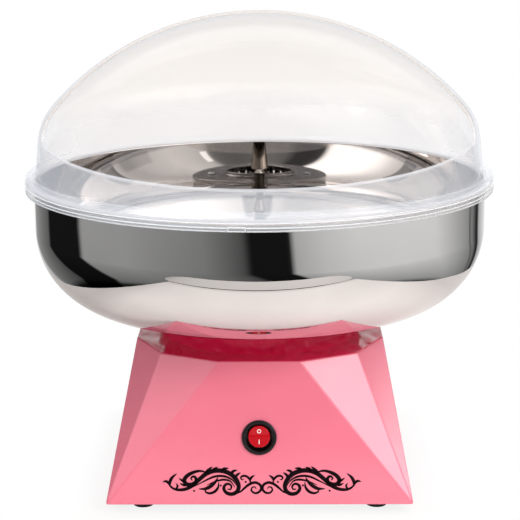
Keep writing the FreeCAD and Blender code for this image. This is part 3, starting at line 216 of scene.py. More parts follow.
@dataclass(frozen=True)
class Finish:
    """A surface with fine drift in its colour, gloss and relief."""

    name: str
    colour: Colour
    roughness: float
    metallic: float = 0.0
    relief: Relief = Relief.GRAIN
    mottle: float = 0.03
    mottle_scale: float = 40.0
    wear: float = 0.04
    wear_scale: float = 60.0
    grain_scale: float = 1200.0
    grain_depth: float = 0.00001
    coat: float = 0.0
    specular: float = 0.5
    glow: float = 0.0
    mottle_detail: float = 4.0
    wear_detail: float = 6.0
    wear_span: Point = (0.3, 0.7)
    grain_detail: float = 3.0
    drawn_stretch: tuple[float, float, float] = (1.0, 1.0, 0.04)
    least_roughness: float = 0.01
    coat_roughness: float = 0.04

    def material(self) -> bpy.types.Material:
        """The finish's material, made at its first use.

        Returns:
            The material.
        """
        made = bpy.data.materials.get(self.name)
        if made is None:
            made = bpy.data.materials.new(self.name)
            made.use_nodes = True
            self.build(Graph(made.node_tree))
        return made

    def drift(self, graph: Graph, where: bpy.types.NodeSocket) -> bpy.types.NodeSocket:
        """Colour that drifts a little over the surface.

        Args:
            graph: the material's nodes.
            where: place on the piece.

        Returns:
            The colour.
        """
        noise = graph.noise(where, self.mottle_scale, self.mottle_detail)
        dark, pale = linear(self.colour, 1 - self.mottle), linear(self.colour, 1 + self.mottle)
        return graph.blend(noise, dark, pale)

    def gloss(self, graph: Graph, where: bpy.types.NodeSocket) -> bpy.types.NodeSocket:
        """Roughness that drifts with handling.

        Args:
            graph: the material's nodes.
            where: place on the piece.

        Returns:
            The roughness.
        """
        noise = graph.noise(where, self.wear_scale, self.wear_detail)
        smoothest = max(self.roughness - self.wear, self.least_roughness)
        return graph.span(noise, self.wear_span, (smoothest, self.roughness + self.wear))

    def relief_place(self, graph: Graph, where: bpy.types.NodeSocket) -> bpy.types.NodeSocket:
        """Coordinates that stretch the relief along the way the surface was worked.

        Args:
            graph: the material's nodes.
            where: place on the piece.

        Returns:
            The stretched place.
        """
        if self.relief is Relief.SPUN:
            across, along, level = graph.parts(where)
            return graph.out("ShaderNodeCombineXYZ", {0: graph.length(across, along), 1: level})
        return graph.stretched(where, self.drawn_stretch if self.relief is Relief.DRAWN else (1.0, 1.0, 1.0))

    def normal(self, graph: Graph, where: bpy.types.NodeSocket) -> bpy.types.NodeSocket:
        """Normal with the surface's fine relief."""
        grain = graph.noise(self.relief_place(graph, where), self.grain_scale, self.grain_detail)
        return graph.bump(grain, self.grain_depth)

    def build(self, graph: Graph) -> None:
        """Fill a material's tree.

        Args:
            graph: its nodes.
        """
        where = graph.add("ShaderNodeTexCoord").outputs["Object"]
        normal = self.normal(graph, where)
        surface = graph.add("ShaderNodeBsdfPrincipled", {
            "Base Color": self.drift(graph, where),
            "Roughness": self.gloss(graph, where),
            "Normal": normal,
            "Coat Normal": normal,
            "Metallic": self.metallic,
            "Specular IOR Level": self.specular,
            "Coat Weight": self.coat,
            "Coat Roughness": self.coat_roughness,
        })
        # glow: painted light, emission in the finish's own colour
        if self.glow:
            surface.inputs["Emission Color"].default_value = linear(self.colour)
            surface.inputs["Emission Strength"].default_value = self.glow
        graph.add("ShaderNodeOutputMaterial", {"Surface": surface.outputs[0]})


@dataclass(frozen=True)
class ClearPlastic(Finish):
    """Thin clear plastic: a little haze, more of it in the ledge and skirt, and a mirror skin that grows edge on."""

    haze: float = 0.27
    skirt_haze: float = 0.27
    ledge_haze: float = 0.41
    dome_haze: float = 0.08
    dome_level: float = 0.232
    dome_fade: float = 0.028
    thick_radius: float = 0.1545
    ledge_level: float = 0.2085
    haze_fade: float = 0.0015
    skin: float = 0.03
    glow_through: float = 0.5
    lift: float = 0.9
    tint: Colour = (255, 252, 249)
    edge_tint: Colour = (240, 242, 246)
    edge_skin: float = 0.35
    tint_power: float = 6.0
    skin_power: float = 5.0
    skin_roughness: float = 0.03

    def haze_share(self, graph: Graph, where: bpy.types.NodeSocket) -> bpy.types.NodeSocket:
        """Share of haze: least in the dome, some in the low wall, and most in the ledge and the skirt.

        Args:
            graph: the material's nodes.
            where: place on the piece.

        Returns:
            The share.
        """
        radius = graph.vectors("LENGTH", graph.vectors("MULTIPLY", where, (1.0, 1.0, 0.0)))
        level = graph.parts(where)[2]
        thick = graph.span(level, (self.ledge_level, self.ledge_level + self.haze_fade),
                           (self.skirt_haze, self.ledge_haze))
        thin = graph.span(level, (self.dome_level, self.dome_level + self.dome_fade),
                          (self.haze, self.dome_haze), smooth=True)
        return graph.span(radius, (self.thick_radius, self.thick_radius + self.haze_fade), (thin, thick))

    def leaning(self, graph: Graph, normal: bpy.types.NodeSocket, lift: float) -> bpy.types.NodeSocket:
        """Normal that leans up or down, for haze that gathers light from above the wall."""
        return graph.vectors("NORMALIZE", graph.vectors("ADD", normal, (0.0, 0.0, lift)))

    def build(self, graph: Graph) -> None:
        """Fill a material's tree: a clear body with haze that lights up from both sides, under a mirror skin.

        Args:
            graph: its nodes.
        """
        where = graph.add("ShaderNodeTexCoord").outputs["Object"]
        normal = self.normal(graph, where)
        colour = self.drift(graph, where)
        surface = graph.out("ShaderNodeBsdfPrincipled", {
            "Base Color": colour,
            "Roughness": self.gloss(graph, where),
            "Normal": self.leaning(graph, normal, self.lift),
            "Specular IOR Level": 0.0,
        })
        through = graph.out("ShaderNodeBsdfTranslucent", {
            "Color": colour, "Normal": self.leaning(graph, normal, -self.lift),
        })
        milk = graph.layered(self.glow_through, surface, through)
        facing = graph.add("ShaderNodeLayerWeight", {"Blend": 0.5, "Normal": normal}).outputs["Facing"]
        edge = graph.blend(graph.maths("POWER", facing, self.tint_power), linear(self.tint), linear(self.edge_tint))
        clear = graph.out("ShaderNodeBsdfTransparent", {"Color": edge})
        body = graph.layered(self.haze_share(graph, where), clear, milk)
        mirror = graph.out("ShaderNodeBsdfGlossy", {
            "Color": WHITE, "Roughness": self.skin_roughness, "Normal": normal,
        })
        rising = graph.times(graph.maths("POWER", facing, self.skin_power), self.edge_skin)
        both = graph.layered(graph.plus(rising, self.skin), body, mirror)
        graph.add("ShaderNodeOutputMaterial", {"Surface": both})


@dataclass(frozen=True)
class ShadedPlastic(Finish):
    """Glossy moulded plastic with painted shade: between two levels its colour is blended towards a deep dark pink,
    for the shade and the pink light that fills the recess under the bowl.
    """

    painted_shade: Colour = (224, 22, 76)
    deck_start: float = 0.0995
    painted_shade_top: float = 0.117
    deep_fade: float = 0.0012
    wave_scale: float = 14.0
    wave_depth: float = 0.0004
    deep_wave_scale: float = 150.0
    deep_wave_depth: float = 0.0016
    wave_detail: float = 1.0
    deep_wave_stretch: tuple[float, float, float] = (1.0, 0.35, 1.0)

    def drift(self, graph: Graph, where: bpy.types.NodeSocket) -> bpy.types.NodeSocket:
        """Colour that drifts a little, with painted shade that deepens it between the levels.

        Args:
            graph: the material's nodes.
            where: place on the piece.

        Returns:
            The colour.
        """
        pale = super().drift(graph, where)
        level = graph.parts(where)[2]
        # painted shade: between the deck and the pedestal's top the pink darkens towards a deep red, for the shade
        # under the bowl
        rising = graph.span(level, (self.deck_start, self.deck_start + self.deep_fade), (0.0, 1.0), smooth=True)
        falling = graph.span(level, (self.painted_shade_top, self.painted_shade_top + self.deep_fade), (1.0, 0.0), smooth=True)
        return graph.blend(graph.times(rising, falling), pale, linear(self.painted_shade))

    def normal(self, graph: Graph, where: bpy.types.NodeSocket) -> bpy.types.NodeSocket:
        """Normal with the fine grain, the slow waves of moulded walls and the ripples of the deck.

        Args:
            graph: the material's nodes.
            where: place on the piece.

        Returns:
            The normal.
        """
        waves = graph.noise(where, self.wave_scale, self.wave_detail)
        wavy = graph.bump(waves, self.wave_depth, Normal=super().normal(graph, where))
        share = graph.span(graph.parts(where)[2], (self.deck_start, self.deck_start + self.deep_fade), (0.0, 1.0))
        ripples = graph.noise(graph.stretched(where, self.deep_wave_stretch), self.deep_wave_scale, 0.0)
        return graph.bump(ripples, self.deep_wave_depth, Strength=share, Normal=wavy)


@dataclass(frozen=True)
class SpunSteel(Finish):
    """Mirror steel with a painted warm tint on its inside, for light that crosses the bowl more than once."""

    painted_bounce_tint: Colour = (255, 251, 249)
    centre: tuple[float, float, float] = (0.0, 0.0, 0.3)

    def drift(self, graph: Graph, where: bpy.types.NodeSocket) -> bpy.types.NodeSocket:
        """Colour that drifts a little, with a painted warm tint on the faces turned to the bowl's centre.

        Args:
            graph: the material's nodes.
            where: place on the piece.

        Returns:
            The colour.
        """
        facing = graph.add("ShaderNodeTexCoord").outputs["Normal"]
        turned = graph.vectors("DOT_PRODUCT", graph.vectors("SUBTRACT", where, self.centre), facing)
        # painted light: faces turned to the centre take a warm tint for light bounced across the bowl
        inner = graph.maths("LESS_THAN", turned, 0.0)
        return graph.blend(inner, super().drift(graph, where), linear(self.painted_bounce_tint), "MULTIPLY")


class Finishes:
    """Every finish of the machine."""

    # PINK and COLLAR are ShadedPlastic: both carry painted shade on the deck and the pedestal under the bowl.
    PINK = ShadedPlastic("candy_pink_abs", (234, 121, 142), 0.16, mottle=0.012, wear=0.04, grain_scale=700.0,
                         grain_depth=0.000003, coat=0.6)
    COLLAR = ShadedPlastic("candy_pink_collar", (234, 121, 142), 0.2, mottle=0.012, wear=0.04, grain_scale=700.0,
                           grain_depth=0.000003, coat=0.1, specular=0.2)
    STEEL = SpunSteel("mirror_stainless", (214, 213, 212), 0.025, 1.0, Relief.SPUN, mottle=0.02, wear=0.012,
                      wear_scale=25.0, grain_scale=2600.0, grain_depth=0.0000006)
    CLEAR = ClearPlastic("clear_cover_plastic", (241, 246, 255), 0.12, mottle=0.01, wear=0.04, grain_scale=160.0,
                         grain_depth=0.000004)
    # Near solid white milk for the moulded mark and the skirt ribs: a painted highlight that stands in for the glint
    # of light on the raised relief.
    PAINTED_GLINT = ClearPlastic("frosted_relief", (255, 255, 255), 0.2, mottle=0.0, haze=0.97, skirt_haze=0.97,
                         ledge_haze=0.97)
    RUBBER = Finish("black_rubber", (30, 30, 31), 0.72, mottle=0.10, grain_scale=1600.0, grain_depth=0.00003)
    SOFT_RING = Finish("grey_silicone", (212, 212, 208), 0.55, mottle=0.05, grain_depth=0.00001)
    PLATE = Finish("dark_base_plastic", (46, 46, 48), 0.5, mottle=0.08, grain_scale=1500.0, grain_depth=0.00003)
    SWITCH_BLACK = Finish("black_switch_nylon", (12, 12, 14), 0.3, mottle=0.08, wear=0.06, grain_depth=0.000008,
                          specular=0.3)
    # glow: a faint painted glow in the lens's own red, with no lamp inside it
    ROCKER_RED = Finish("red_lens_plastic", (182, 0, 20), 0.14, mottle=0.05, wear=0.03, grain_scale=300.0,
                        grain_depth=0.000004, specular=0.3, glow=0.02)
    MARK_WHITE = Finish("white_print", (250, 240, 236), 0.45, mottle=0.02)
    INK = Finish("black_print", (16, 4, 8), 0.5, mottle=0.15, mottle_scale=300.0, grain_scale=900.0,
                 grain_depth=0.000008, specular=0.08)
    GLAND = Finish("black_nylon", (24, 24, 25), 0.5, mottle=0.10, grain_depth=0.00002)
    ZINC = Finish("zinc_plated_steel", (186, 188, 186), 0.34, 1.0, Relief.DRAWN, mottle=0.06, wear=0.08,
                  grain_scale=900.0, grain_depth=0.00001)
    SHAFT = Finish("ground_steel", (196, 196, 198), 0.22, 1.0, Relief.SPUN, mottle=0.04, grain_scale=3000.0,
                   grain_depth=0.000004)
    CAST = Finish("turned_aluminium", (142, 138, 136), 0.09, 1.0, Relief.SPUN, mottle=0.04, wear=0.04,
                  grain_scale=3500.0, grain_depth=0.000002)
    POLISHED = Finish("polished_plate", (224, 223, 222), 0.07, 1.0, Relief.SPUN, mottle=0.02, wear=0.02,
                      grain_scale=4000.0, grain_depth=0.000002)
    KNOB = Finish("turned_knob", (138, 130, 122), 0.08, 1.0, Relief.SPUN, mottle=0.03, wear=0.03,
                  grain_scale=4000.0, grain_depth=0.000002)
    BRONZE = Finish("oiled_bronze", (150, 112, 66), 0.42, 1.0, mottle=0.10, grain_depth=0.00001)
    COPPER = Finish("enamelled_copper", (176, 92, 48), 0.3, 1.0, Relief.SPUN, mottle=0.12, grain_scale=2500.0,
                    grain_depth=0.00004)
    TINNED = Finish("tinned_brass", (196, 180, 128), 0.32, 1.0, Relief.DRAWN, mottle=0.06, grain_depth=0.000006)
    IRON = Finish("stacked_iron", (88, 88, 92), 0.5, 1.0, mottle=0.10, grain_scale=2000.0, grain_depth=0.00002)
    FERRITE = Finish("dark_ferrite", (46, 46, 50), 0.62, mottle=0.10, grain_depth=0.00002)
    CARBON = Finish("pressed_carbon", (34, 34, 35), 0.6, mottle=0.12, grain_depth=0.00002)
    CERAMIC = Finish("raw_steatite", (232, 228, 214), 0.62, mottle=0.05, mottle_scale=160.0, grain_scale=1800.0,
                     grain_depth=0.00002)
    SHEATH = Finish("heat_dark_sheath", (92, 84, 80), 0.4, 1.0, mottle=0.20, mottle_scale=90.0, grain_depth=0.00001)
    FAN = Finish("dark_fan_nylon", (36, 36, 38), 0.48, mottle=0.08, grain_depth=0.00002)
    BLOCK = Finish("cream_phenolic", (222, 218, 202), 0.5, mottle=0.05, grain_depth=0.00001)
    LEAD = Finish("pale_silicone", (204, 204, 198), 0.55, mottle=0.06, grain_depth=0.00001)


SLOTS: dict[str, Finish] = {
    "housing_pink": Finishes.PINK, "mirror_steel": Finishes.STEEL, "clear_plastic": Finishes.CLEAR,
    "black_rubber": Finishes.RUBBER, "grey_rubber": Finishes.SOFT_RING, "base_plastic": Finishes.PLATE,
    "switch_black": Finishes.SWITCH_BLACK, "rocker_red": Finishes.ROCKER_RED, "gland_black": Finishes.GLAND,
    "zinc_steel": Finishes.ZINC, "shaft_steel": Finishes.SHAFT, "cast_head": Finishes.CAST,
    "polished_metal": Finishes.POLISHED, "bronze": Finishes.BRONZE, "copper": Finishes.COPPER,
    "tinned_brass": Finishes.TINNED, "iron_core": Finishes.IRON, "ferrite": Finishes.FERRITE,
    "carbon": Finishes.CARBON, "ceramic": Finishes.CERAMIC, "element_sheath": Finishes.SHEATH,
    "fan_plastic": Finishes.FAN, "block_plastic": Finishes.BLOCK, "lead_insulation": Finishes.LEAD,
}


class Outline:
    """A half outline of (radius, level) points, with rounded corners and arcs."""

    def __init__(self) -> None:
        """Start with no points."""
        self.points: list[Point] = []

    def to(self, *corners: tuple[float, ...]) -> Outline:
        """Add corners, each (radius, level) or (radius, level, rounding), that are rounded with their neighbours."""
        self.points += rounded([*self.points[-1:], *corners])[1 if self.points else 0:]
        return self

    def arc(self, centre: Point, radius: float, start: float, end: float, steps: int) -> Outline:
        """Add points along an arc.

        Args:
            centre: the arc's centre.
            radius: its radius.
            start: angle of its first point.
            end: angle of its last point.
            steps: how many chords it has.

        Returns:
            The outline itself.
        """
        for step in range(steps + 1):
            angle = math.radians(start + (end - start) * step / steps)
            place = centre[0] + radius * math.cos(angle), centre[1] + radius * math.sin(angle)
            if not self.points or math.dist(place, self.points[-1]) > WELD:
                self.points.append(place)
        return self

    def closed(self) -> list[Point]:
        """The points as a loop that runs the way that turns its faces outwards.

        Returns:
            The loop, its last point the same as its first.
        """
        loop = [*self.points, self.points[0]]
        area = sum(a[0] * b[1] - b[0] * a[1] for a, b in zip(loop, loop[1:]))
        return loop if area > 0 else loop[::-1]


def rounded(corners: Sequence[tuple[float, ...]], steps: int = 5, loop: bool = False) -> list[Point]:
    """Points of a run of corners with each corner rounded.

    Args:
        corners: (across, up) or (across, up, rounding) places.
        steps: chords in each rounding.
        loop: True if the last corner leads back to the first.

    Returns:
        The points in order.
    """
    points: list[Point] = []
    count = len(corners)
    for index, corner in enumerate(corners):
        here = Vector(corner[:2])
        rounding = corner[2] if len(corner) > 2 else 0.0
        if not rounding or (not loop and index in (0, count - 1)):
            points.append(tuple(here))
            continue
        back = (Vector(corners[index - 1][:2]) - here).normalized()
        ahead = (Vector(corners[(index + 1) % count][:2]) - here).normalized()
        half = back.angle(ahead) / 2
        centre = here + (back + ahead).normalized() * (rounding / math.sin(half))
        first, last = here + back * (rounding / math.tan(half)), here + ahead * (rounding / math.tan(half))
        begin = first - centre
        sweep = math.atan2(begin.cross(last - centre), begin.dot(last - centre))
        points += [tuple(centre + Matrix.Rotation(sweep * step / steps, 2) @ begin) for step in range(steps + 1)]
    return points


class TreeKind(Enum):
    """The geometry node trees that repeat, turn or sweep a form."""

    TURNED = "turned_form"
    SWEPT = "swept_form"
    PRINTED = "printed_strokes"
    RING = "ring_of_copies"
    SPOTS = "copies_at_spots"


class Forms:
    """Builds each geometry node tree once, and bakes its result to a plain mesh."""

    SOCKETS: dict[TreeKind, list[tuple[str, str]]] = {
        TreeKind.TURNED: [("Steps", "NodeSocketInt"), ("Weld", "NodeSocketFloat"), ("Finish", "NodeSocketMaterial")],
        TreeKind.SWEPT: [("Width", "NodeSocketFloat"), ("Height", "NodeSocketFloat"), ("Sides", "NodeSocketInt"),
                         ("Finish", "NodeSocketMaterial")],
        TreeKind.PRINTED: [("Thickness", "NodeSocketFloat"), ("Finish", "NodeSocketMaterial")],
        TreeKind.RING: [("Count", "NodeSocketInt"), ("Radius", "NodeSocketFloat"), ("Level", "NodeSocketFloat"),
                        ("First angle", "NodeSocketFloat"), ("Finish", "NodeSocketMaterial")],
        TreeKind.SPOTS: [("Copy", "NodeSocketObject"), ("Finish", "NodeSocketMaterial")],
    }

    @classmethod
    def tree(cls, kind: TreeKind) -> bpy.types.NodeTree:
        """The tree of a kind, built at its first use.

        Args:
            kind: which tree.

        Returns:
            The tree.
        """
        made = bpy.data.node_groups.get(kind.value)
        if made is not None:
            return made
        made = bpy.data.node_groups.new(kind.value, "GeometryNodeTree")
        made.interface.new_socket("Geometry", in_out="INPUT", socket_type="NodeSocketGeometry")
        for name, socket_type in cls.SOCKETS[kind]:
            made.interface.new_socket(name, in_out="INPUT", socket_type=socket_type)
        made.interface.new_socket("Geometry", in_out="OUTPUT", socket_type="NodeSocketGeometry")
        graph = Graph(made)
        given = graph.add("NodeGroupInput").outputs
        builders = {TreeKind.TURNED: cls.turned, TreeKind.SWEPT: cls.swept, TreeKind.PRINTED: cls.printed,
                    TreeKind.RING: cls.ring, TreeKind.SPOTS: cls.spots}
        shape = builders[kind](graph, given)
        real = graph.out("GeometryNodeRealizeInstances", {0: shape})
        dressed = graph.out("GeometryNodeSetMaterial", {"Geometry": real, "Material": given["Finish"]})
        graph.add("NodeGroupOutput", {0: dressed})
        return made

    @staticmethod
    def round_axis(graph: Graph, radius: Any, angle: Any, level: Any) -> bpy.types.NodeSocket:
        """Place at a radius, an angle in radians and a level about Z."""
        across, along = (graph.times(radius, graph.maths(turn, angle)) for turn in ("COSINE", "SINE"))
        return graph.out("ShaderNodeCombineXYZ", {0: across, 1: along, 2: level})

    @staticmethod
    def turned(graph: Graph, given: Any) -> bpy.types.NodeSocket:
        """A loop of (radius, 0, level) points, turned about Z.

        Args:
            graph: the tree's nodes.
            given: the tree's inputs.

        Returns:
            The form.
        """
        count = graph.out("GeometryNodeAttributeDomainSize", {0: given["Geometry"]}, component="MESH")
        columns = graph.plus(given["Steps"], 1.0)
        grid = graph.out("GeometryNodeMeshGrid", {"Vertices X": columns, "Vertices Y": count})
        index = graph.out("GeometryNodeInputIndex")
        row = graph.maths("FLOORED_MODULO", index, count)
        column = graph.maths("FLOOR", graph.maths("DIVIDE", graph.plus(index, 0.5), count))
        sample = graph.out("GeometryNodeSampleIndex",
                           {0: given["Geometry"], 1: graph.out("GeometryNodeInputPosition"), 2: row},
                           data_type="FLOAT_VECTOR", domain="POINT")
        parts = graph.parts(sample)
        angle = graph.times(graph.maths("DIVIDE", column, given["Steps"]), math.tau)
        place = Forms.round_axis(graph, parts[0], angle, parts[2])
        moved = graph.out("GeometryNodeSetPosition", {"Geometry": grid, "Position": place})
        return graph.out("GeometryNodeMergeByDistance", {"Geometry": moved, "Distance": given["Weld"]})

    @staticmethod
    def along_line(graph: Graph, given: Any, section: bpy.types.NodeSocket) -> bpy.types.NodeSocket:
        """A section swept along edges, upright, as wide as the points' width says.

        Args:
            graph: the tree's nodes.
            given: the tree's inputs.
            section: the section's curve.

        Returns:
            The form.
        """
        line = graph.out("GeometryNodeMeshToCurve", {0: given["Geometry"]})
        width = graph.out("GeometryNodeInputNamedAttribute", {"Name": "width"}, data_type="FLOAT")
        upright = graph.out("GeometryNodeSetCurveNormal", {0: line}, mode="Z_UP")
        return graph.out("GeometryNodeCurveToMesh", {
            "Curve": upright, "Profile Curve": section, "Fill Caps": True, "Scale": width,
        })

    @staticmethod
    def swept(graph: Graph, given: Any) -> bpy.types.NodeSocket:
        """A rounded section swept along edges.

        Args:
            graph: the tree's nodes.
            given: the tree's inputs.

        Returns:
            The form.
        """
        ring = graph.out("GeometryNodeCurvePrimitiveCircle", {"Resolution": given["Sides"], "Radius": 0.5})
        flat = graph.out("ShaderNodeCombineXYZ", {0: given["Width"], 1: given["Height"], 2: 1.0})
        section = graph.out("GeometryNodeTransform", {"Geometry": ring, "Scale": flat})
        return Forms.along_line(graph, given, section)

    @staticmethod
    def printed(graph: Graph, given: Any) -> bpy.types.NodeSocket:
        """A flat, evenly thick layer along edges in the XY plane.

        Args:
            graph: the tree's nodes.
            given: the tree's inputs.

        Returns:
            The layer.
        """
        section = graph.out("GeometryNodeCurvePrimitiveQuadrilateral", {0: 1.0, 1: 1.0})
        layer = Forms.along_line(graph, given, section)
        parts = graph.parts(graph.out("GeometryNodeInputPosition"))
        half = graph.times(graph.maths("SIGN", parts[2]), graph.times(given["Thickness"], 0.5))
        flat = graph.out("ShaderNodeCombineXYZ", {0: parts[0], 1: parts[1], 2: half})
        return graph.out("GeometryNodeSetPosition", {"Geometry": layer, "Position": flat})

    @staticmethod
    def ring(graph: Graph, given: Any) -> bpy.types.NodeSocket:
        """Copies of the given shape, evenly round Z.

        Args:
            graph: the tree's nodes.
            given: the tree's inputs.

        Returns:
            The copies.
        """
        points = graph.out("GeometryNodePoints", {"Count": given["Count"]})
        index = graph.out("GeometryNodeInputIndex")
        turn = graph.times(graph.maths("DIVIDE", index, given["Count"]), math.tau)
        angle = graph.plus(turn, given["First angle"])
        place = Forms.round_axis(graph, given["Radius"], angle, given["Level"])
        spread = graph.out("GeometryNodeSetPosition", {"Geometry": points, "Position": place})
        facing = graph.out("ShaderNodeCombineXYZ", {2: angle})
        return graph.out("GeometryNodeInstanceOnPoints", {
            "Points": spread, "Instance": given["Geometry"], "Rotation": facing,
        })

    @staticmethod
    def spots(graph: Graph, given: Any) -> bpy.types.NodeSocket:
        """Copies of an object at the given points.

        Args:
            graph: the tree's nodes.
            given: the tree's inputs.

        Returns:
            The copies.
        """
        copy = graph.add("GeometryNodeObjectInfo", {"Object": given["Copy"]}).outputs["Geometry"]
        points = graph.out("GeometryNodeMeshToPoints", {0: given["Geometry"]})
        return graph.out("GeometryNodeInstanceOnPoints", {"Points": points, "Instance": copy})

    @classmethod
    def bake(cls, kind: TreeKind, seed_mesh: bpy.types.Mesh, **values: Any) -> bpy.types.Mesh:
        """Run a tree on a mesh.

        Args:
            kind: which tree.
            seed_mesh: the mesh that it starts from.
            values: its inputs, by name with underscores for spaces.

        Returns:
            The result as a plain mesh.
        """
        tree = cls.tree(kind)
        carrier = linked("carrier", seed_mesh)
        modifier = carrier.modifiers.new("form", "NODES")
        modifier.node_group = tree
        for item in tree.interface.items_tree:
            key = item.name.replace(" ", "_")
            if item.in_out == "INPUT" and key in values:
                modifier[item.identifier] = values[key]
        return settled(carrier)


def linked(name: str, mesh: bpy.types.Mesh) -> bpy.types.Object:
    """New object of a mesh, in the scene.

    Args:
        name: its name.
        mesh: its mesh.

    Returns:
        The object.
    """
    made = bpy.data.objects.new(name, mesh)
    bpy.context.scene.collection.objects.link(made)
    return made


def settled(carrier: bpy.types.Object) -> bpy.types.Mesh:
    """Plain mesh of an object with its modifiers applied, after which the object is gone.

    Args:
        carrier: the object.

    Returns:
        The mesh.
    """
    made = bpy.data.meshes.new_from_object(carrier.evaluated_get(bpy.context.evaluated_depsgraph_get()))
    carrier.modifiers.clear()
    bpy.data.objects.remove(carrier)
    return made


def plain(form: bmesh.types.BMesh, name: str) -> bpy.types.Mesh:
    """Mesh of a form, which is then freed.

    Args:
        form: the form.
        name: the mesh's name.

    Returns:
        The mesh.
    """
    mesh = bpy.data.meshes.new(name)
    form.to_mesh(mesh)
    form.free()
    return mesh


def line_mesh(points: Sequence[Sequence[float]], widths: Sequence[float] | None = None, loop: bool = False,
              joined: bool = True) -> bpy.types.Mesh:
    """Mesh of points, joined by edges.

    Args:
        points: the places.
        widths: the width at each, for a swept form.
        loop: True if the last joins the first.
        joined: False for loose points.

    Returns:
        The mesh.
    """
    count = len(points)
    edges = [(index, (index + 1) % count) for index in range(count if loop else count - 1)] if joined else []
    mesh = bpy.data.meshes.new("line")
    mesh.from_pydata([Vector(point).to_3d() for point in points], edges, [])
    if widths is not None:
        mesh.attributes.new("width", "FLOAT", "POINT").data.foreach_set("value", list(widths))
    return mesh


def turned_mesh(outline: Outline, finish: Finish, steps: int = LARGE_STEPS) -> bpy.types.Mesh:
    """Mesh of a closed half outline turned about Z.

    Args:
        outline: the half outline.
        finish: its finish.
        steps: how many faces go round.

    Returns:
        The mesh, shaded smooth.
    """
    loop = [(across, 0.0, up) for across, up in outline.closed()]
    mesh = Forms.bake(TreeKind.TURNED, line_mesh(loop), Steps=steps, Weld=WELD, Finish=finish.material())
    return smoothed(mesh)


def rod(points: Sequence[Sequence[float]], width: float, sides: int, finish: Finish,
        loop: bool = False) -> bpy.types.Mesh:
    """Round rod along points.

    Args:
        points: the places that it passes.
        width: its thickness.
        sides: how many faces go round it.
        finish: its finish.
        loop: True if its end joins its start.

    Returns:
        The rod.
    """
    line = line_mesh(points, [1.0] * len(points), loop)
    return Forms.bake(TreeKind.SWEPT, line, Width=width, Height=width, Sides=sides, Finish=finish.material())


def smoothed(mesh: bpy.types.Mesh, angle: float = SMOOTH_ANGLE) -> bpy.types.Mesh:
    """Shade a mesh smooth, apart from its sharp edges, with its large faces kept flat.

    Args:
        mesh: the mesh.
        angle: the least angle of a sharp edge.

    Returns:
        The shaded mesh.
    """
    mesh.shade_smooth()
    mesh.set_sharp_from_angle(angle=math.radians(angle))
    carrier = linked("smoothed", mesh)
    modifier = carrier.modifiers.new("weights", "WEIGHTED_NORMAL")
    modifier.mode, modifier.weight, modifier.keep_sharp = "FACE_AREA", 100, True
    return settled(carrier)


def moved(mesh: bpy.types.Mesh, *turns: Matrix) -> bpy.types.Mesh:
    """Put a mesh in its place.

    Args:
        mesh: the mesh.
        turns: transforms, of which the first one is done last.

    Returns:
        The same mesh.
    """
    whole = Matrix.Identity(4)
    for turn in turns:
        whole = whole @ turn
    mesh.transform(whole)
    return mesh


def joined(*meshes: bpy.types.Mesh) -> bpy.types.Mesh:
    """One mesh of several that share their first one's materials.

    Args:
        meshes: the meshes.

    Returns:
        The whole.
    """
    form = bmesh.new()
    for mesh in meshes:
        form.from_mesh(mesh)
    whole = plain(form, "joined")
    for material in meshes[0].materials:
        whole.materials.append(material)
    return whole


def copies(shape: bpy.types.Mesh, places: Sequence[Sequence[float]], finish: Finish) -> bpy.types.Mesh:
    """One mesh of a shape repeated at places.

    Args:
        shape: the shape, round the origin.
        places: where its copies go.
        finish: their finish.

    Returns:
        The copies as one mesh.
    """
    carrier = linked("copied", shape)
    made = Forms.bake(TreeKind.SPOTS, line_mesh(places, joined=False), Copy=carrier, Finish=finish.material())
    bpy.data.objects.remove(carrier)
    return made


def prism_mesh(corners: Sequence[Point], low: float, high: float) -> bpy.types.Mesh:
    """Closed prism of a loop in the XY plane.

    Args:
        corners: the loop.
        low: level of its foot.
        high: level of its top.

    Returns:
        The prism.
    """
    form = bmesh.new()
    base = form.faces.new([form.verts.new((across, along, low)) for across, along in corners])
    lifted = bmesh.ops.extrude_face_region(form, geom=[base])["geom"]
    bmesh.ops.translate(form, verts=[item for item in lifted if isinstance(item, bmesh.types.BMVert)],
                        vec=(0, 0, high - low))
    bmesh.ops.recalc_face_normals(form, faces=form.faces)
    return plain(form, "prism")


def carved(mesh: bpy.types.Mesh, tools: Iterable[bpy.types.Mesh], operation: str = "DIFFERENCE") -> bpy.types.Mesh:
    """A mesh with tools taken away from it, joined to it, or kept in common with it.

    Args:
        mesh: the mesh.
        tools: the other meshes.
        operation: DIFFERENCE, UNION or INTERSECT.

    Returns:
        The result.
    """
    carrier = linked("carved", mesh)
    cutters = [linked("cutter", tool) for tool in tools]
    for cutter in cutters:
        modifier = carrier.modifiers.new("cut", "BOOLEAN")
        modifier.operation, modifier.solver, modifier.object = operation, "EXACT", cutter
    made = settled(carrier)
    for cutter in cutters:
        bpy.data.objects.remove(cutter)
    return made


def bevelled(mesh: bpy.types.Mesh, width: float, segments: int = 4, angle: float = 25.0) -> bpy.types.Mesh:
    """A mesh with its sharp edges rounded.

    Args:
        mesh: the mesh.
        width: width of the rounding.
        segments: faces across it.
        angle: the least angle of a sharp edge.

    Returns:
        The rounded mesh.
    """
    carrier = linked("bevelled", mesh)
    modifier = carrier.modifiers.new("edges", "BEVEL")
    modifier.width, modifier.segments, modifier.angle_limit = width, segments, math.radians(angle)
    modifier.limit_method = "ANGLE"
    return settled(carrier)


